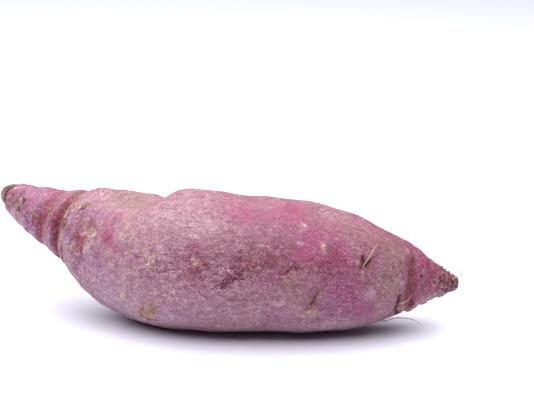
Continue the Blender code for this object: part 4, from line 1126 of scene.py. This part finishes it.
def build_stage(studio):
    """Pale floor, soft overhead light, pale surroundings and the camera."""
    scene = bpy.context.scene
    reach = studio.floor_size / 2
    mesh = bpy.data.meshes.new("studio_floor")
    corners = [(-reach, -reach, 0.0), (reach, -reach, 0.0), (reach, reach, 0.0), (-reach, reach, 0.0)]
    mesh.from_pydata(corners, [], [(0, 1, 2, 3)])
    finish = Finish("pale_studio_floor")
    finish.set(Base_Color=rgba(studio.floor_colour), Roughness=studio.floor_roughness)
    mesh.materials.append(finish.material)
    floor = bpy.data.objects.new("studio_floor", mesh)
    scene.collection.objects.link(floor)

    light = bpy.data.lights.new("softbox", "AREA")
    light.shape = "RECTANGLE"
    light.size = studio.softbox_width
    light.size_y = studio.softbox_depth
    light.energy = studio.softbox_power
    softbox = bpy.data.objects.new("softbox", light)
    softbox.location = (-studio.softbox_left, studio.softbox_behind, studio.softbox_height)
    scene.collection.objects.link(softbox)

    world = bpy.data.worlds.new("pale_surroundings")
    world.use_nodes = True
    background = world.node_tree.nodes["Background"]
    background.inputs["Color"].default_value = rgba(studio.surround_colour)
    background.inputs["Strength"].default_value = studio.surround_strength
    scene.world = world
    scene.view_settings.view_transform = "Standard"

    camera_data = bpy.data.cameras.new("photo_camera")
    camera_data.lens = studio.lens
    camera_data.sensor_width = studio.sensor_width
    camera_data.clip_start = 0.01
    camera = bpy.data.objects.new("photo_camera", camera_data)
    tilt = studio.camera_elevation
    back = np.array([0.0, -math.cos(tilt), math.sin(tilt)]) * studio.camera_distance
    camera.location = np.array(studio.camera_target) + back
    camera.rotation_euler = (math.pi / 2 - tilt, 0.0, 0.0)
    scene.collection.objects.link(camera)
    scene.camera = camera


def tint_property(label, description, default):
    """A colour that the panel shows, as linear red, green and blue."""
    return bpy.props.FloatVectorProperty(name=label, description=description, subtype="COLOR", size=3,
                                         min=0.0, max=1.0, default=default)


def number_property(label, description, default, **more):
    """A number that the panel shows."""
    return bpy.props.FloatProperty(name=label, description=description, default=default, **more)


def length_property(label, description, default):
    """A length that the panel shows, in metres."""
    return number_property(label, description, default, unit="LENGTH", precision=4)


class SkinSizes(bpy.types.PropertyGroup):
    """How fine the skin is."""

    rings: bpy.props.IntProperty(
        name="Rings", description="Rings of the skin along the root", default=345)
    points_round: bpy.props.IntProperty(
        name="Points round", description="Points in each ring of the skin", default=286)
    grain_height: length_property("Grain height", "Height of the finest grain of the skin", 0.0003)


class SkinColours(bpy.types.PropertyGroup):
    """Colours of the skin, its marks and its hairs."""

    dusty: tint_property("Dusty skin", "Ground colour of the dull skin", (0.320, 0.160, 0.201))
    # Also laid over the top of the root as painted shade of things lying above it.
    rose: tint_property("Rose skin", "Ground colour where the skin is pinker", (0.240, 0.064, 0.117))
    grey: tint_property("Grey skin", "Ground colour where the skin is greyer", (0.280, 0.143, 0.172))
    # Also laid low on the front, partly as painted light on the underside.
    bloom: tint_property("Pale bloom", "Pale grey-lilac film on the skin", (0.42, 0.265, 0.325))
    orchid: tint_property("Orchid", "Violet patches", (0.26, 0.100, 0.183))
    flush: tint_property("Flush", "Bright pink patches", (0.285, 0.056, 0.132))
    russet: tint_property("Russet", "Red-brown patches", (0.195, 0.060, 0.078))
    straw: tint_property("Straw", "Pale yellowish spots", (0.380, 0.243, 0.215))
    # Also laid in the hollow behind the neck, partly as painted shade.
    cork: tint_property("Cork", "Dull tan patches of healed skin", (0.26, 0.133, 0.140))
    wine: tint_property("Wine", "Deep crimson spots", (0.215, 0.040, 0.080))
    speck: tint_property("Dark speck", "Dark grains of the speckle", (0.120, 0.038, 0.062))
    # Also laid on the high places of the broken ends as painted highlight.
    fleck: tint_property("Pale fleck", "Pale grains of the speckle", (0.50, 0.34, 0.39))
    ochre: tint_property("Ochre", "Orange-tan dots", (0.30, 0.145, 0.09))
    olive: tint_property("Olive", "Olive-brown corky slits", (0.215, 0.090, 0.066))
    # Partly the creases' own maroon, partly painted shade of the creases and grooves.
    crease: tint_property("Crease", "Maroon in the creases", (0.185, 0.050, 0.058))
    pit: tint_property("Pit", "Purple-brown floor of the pits", (0.118, 0.017, 0.042))
    # Dark brown partly of the slits and cracks themselves, partly painted shade inside them.
    soil: tint_property("Soil", "Dark brown in slits and cracks", (0.065, 0.026, 0.026))
    hair: tint_property("Root hair", "Dry straw-coloured hairs", (0.50, 0.34, 0.25))


class StudioSettings(bpy.types.PropertyGroup):
    """Floor, light and camera."""

    floor_size: length_property("Floor size", "Side of the square floor", 6.0)
    floor_colour: tint_property("Floor colour", "Colour of the floor", (0.86, 0.87, 0.98))
    floor_roughness: number_property(
        "Floor roughness", "Dullness of the floor", 0.12, min=0.0, max=1.0, subtype="FACTOR")
    softbox_width: length_property("Softbox width", "Width of the overhead light, along X", 2.8)
    softbox_depth: length_property("Softbox depth", "Depth of the overhead light, along Y", 2.7)
    softbox_height: length_property("Softbox height", "Height of the overhead light over the floor", 1.1)
    softbox_behind: length_property("Softbox behind", "How far behind the root the light is centred", 0.3)
    softbox_left: length_property("Softbox left", "How far left of the root the light is centred", 0.4)
    softbox_power: number_property("Softbox power", "Power of the overhead light", 78.0, unit="POWER")
    surround_colour: tint_property(
        "Surroundings", "Colour of the studio round the floor", (0.94, 0.92, 1.0))
    surround_strength: number_property(
        "Surroundings strength", "Brightness of the studio round the floor", 0.10, min=0.0)
    lens: number_property("Lens", "Focal length in millimetres", 100.0)
    sensor_width: number_property("Sensor", "Sensor width in millimetres", 36.0)
    camera_elevation: number_property(
        "Elevation", "How far the camera looks down", math.radians(15.0), subtype="ANGLE")
    camera_distance: length_property("Camera distance", "Distance from the camera to its target", 0.57108)
    camera_target: bpy.props.FloatVectorProperty(
        name="Camera target", description="Point that the camera faces", default=(0.018, -0.0115, 0.05241),
        unit="LENGTH", subtype="TRANSLATION")


class SweetPotatoSettings(bpy.types.PropertyGroup):
    """All settings of the sweet potato and its studio."""

    sizes: bpy.props.PointerProperty(type=SkinSizes)
    colours: bpy.props.PointerProperty(type=SkinColours)
    studio: bpy.props.PointerProperty(type=StudioSettings)


class SWEETPOTATO_OT_skin(bpy.types.Operator):
    """Builds the fine skin in place of the plain solid"""

    bl_idname = "sweet_potato.skin"
    bl_label = "Build Skin"

    def execute(self, context):
        build_skin(context.scene.sweet_potato)
        return {"FINISHED"}


class SWEETPOTATO_OT_hairs(bpy.types.Operator):
    """Builds the root hairs in the slits and at the tip"""

    bl_idname = "sweet_potato.hairs"
    bl_label = "Build Root Hairs"

    def execute(self, context):
        build_hairs(context.scene.sweet_potato)
        return {"FINISHED"}


class SWEETPOTATO_OT_flakes(bpy.types.Operator):
    """Builds the papery flakes of loose skin"""

    bl_idname = "sweet_potato.flakes"
    bl_label = "Build Flakes"

    def execute(self, context):
        build_flakes(context.scene.sweet_potato)
        return {"FINISHED"}


class SWEETPOTATO_OT_stage(bpy.types.Operator):
    """Builds the floor, the light and the camera"""

    bl_idname = "sweet_potato.stage"
    bl_label = "Build Stage"

    def execute(self, context):
        build_stage(context.scene.sweet_potato.studio)
        return {"FINISHED"}


class SWEETPOTATO_PT_panel(bpy.types.Panel):
    """Lists the steps that build the sweet potato"""

    bl_label = "Sweet Potato"
    bl_idname = "SWEETPOTATO_PT_panel"
    bl_space_type = "VIEW_3D"
    bl_region_type = "UI"
    bl_category = "Sweet Potato"

    def draw(self, context):
        for step in STEPS:
            self.layout.operator(step.bl_idname)


STEPS = (SWEETPOTATO_OT_stage, SWEETPOTATO_OT_skin, SWEETPOTATO_OT_hairs, SWEETPOTATO_OT_flakes)
CLASSES = (SkinSizes, SkinColours, StudioSettings, SweetPotatoSettings) + STEPS + (SWEETPOTATO_PT_panel,)


def register():
    """Registers the classes and gives the scene its settings."""
    for each in CLASSES:
        bpy.utils.register_class(each)
    bpy.types.Scene.sweet_potato = bpy.props.PointerProperty(type=SweetPotatoSettings)


def unregister():
    """Takes the settings and the classes away again."""
    del bpy.types.Scene.sweet_potato
    for each in reversed(CLASSES):
        bpy.utils.unregister_class(each)


def main():
    """Builds everything in order."""
    register()
    bpy.ops.sweet_potato.stage()
    bpy.ops.sweet_potato.skin()
    bpy.ops.sweet_potato.hairs()
    bpy.ops.sweet_potato.flakes()


if __name__ == "__main__":
    main()
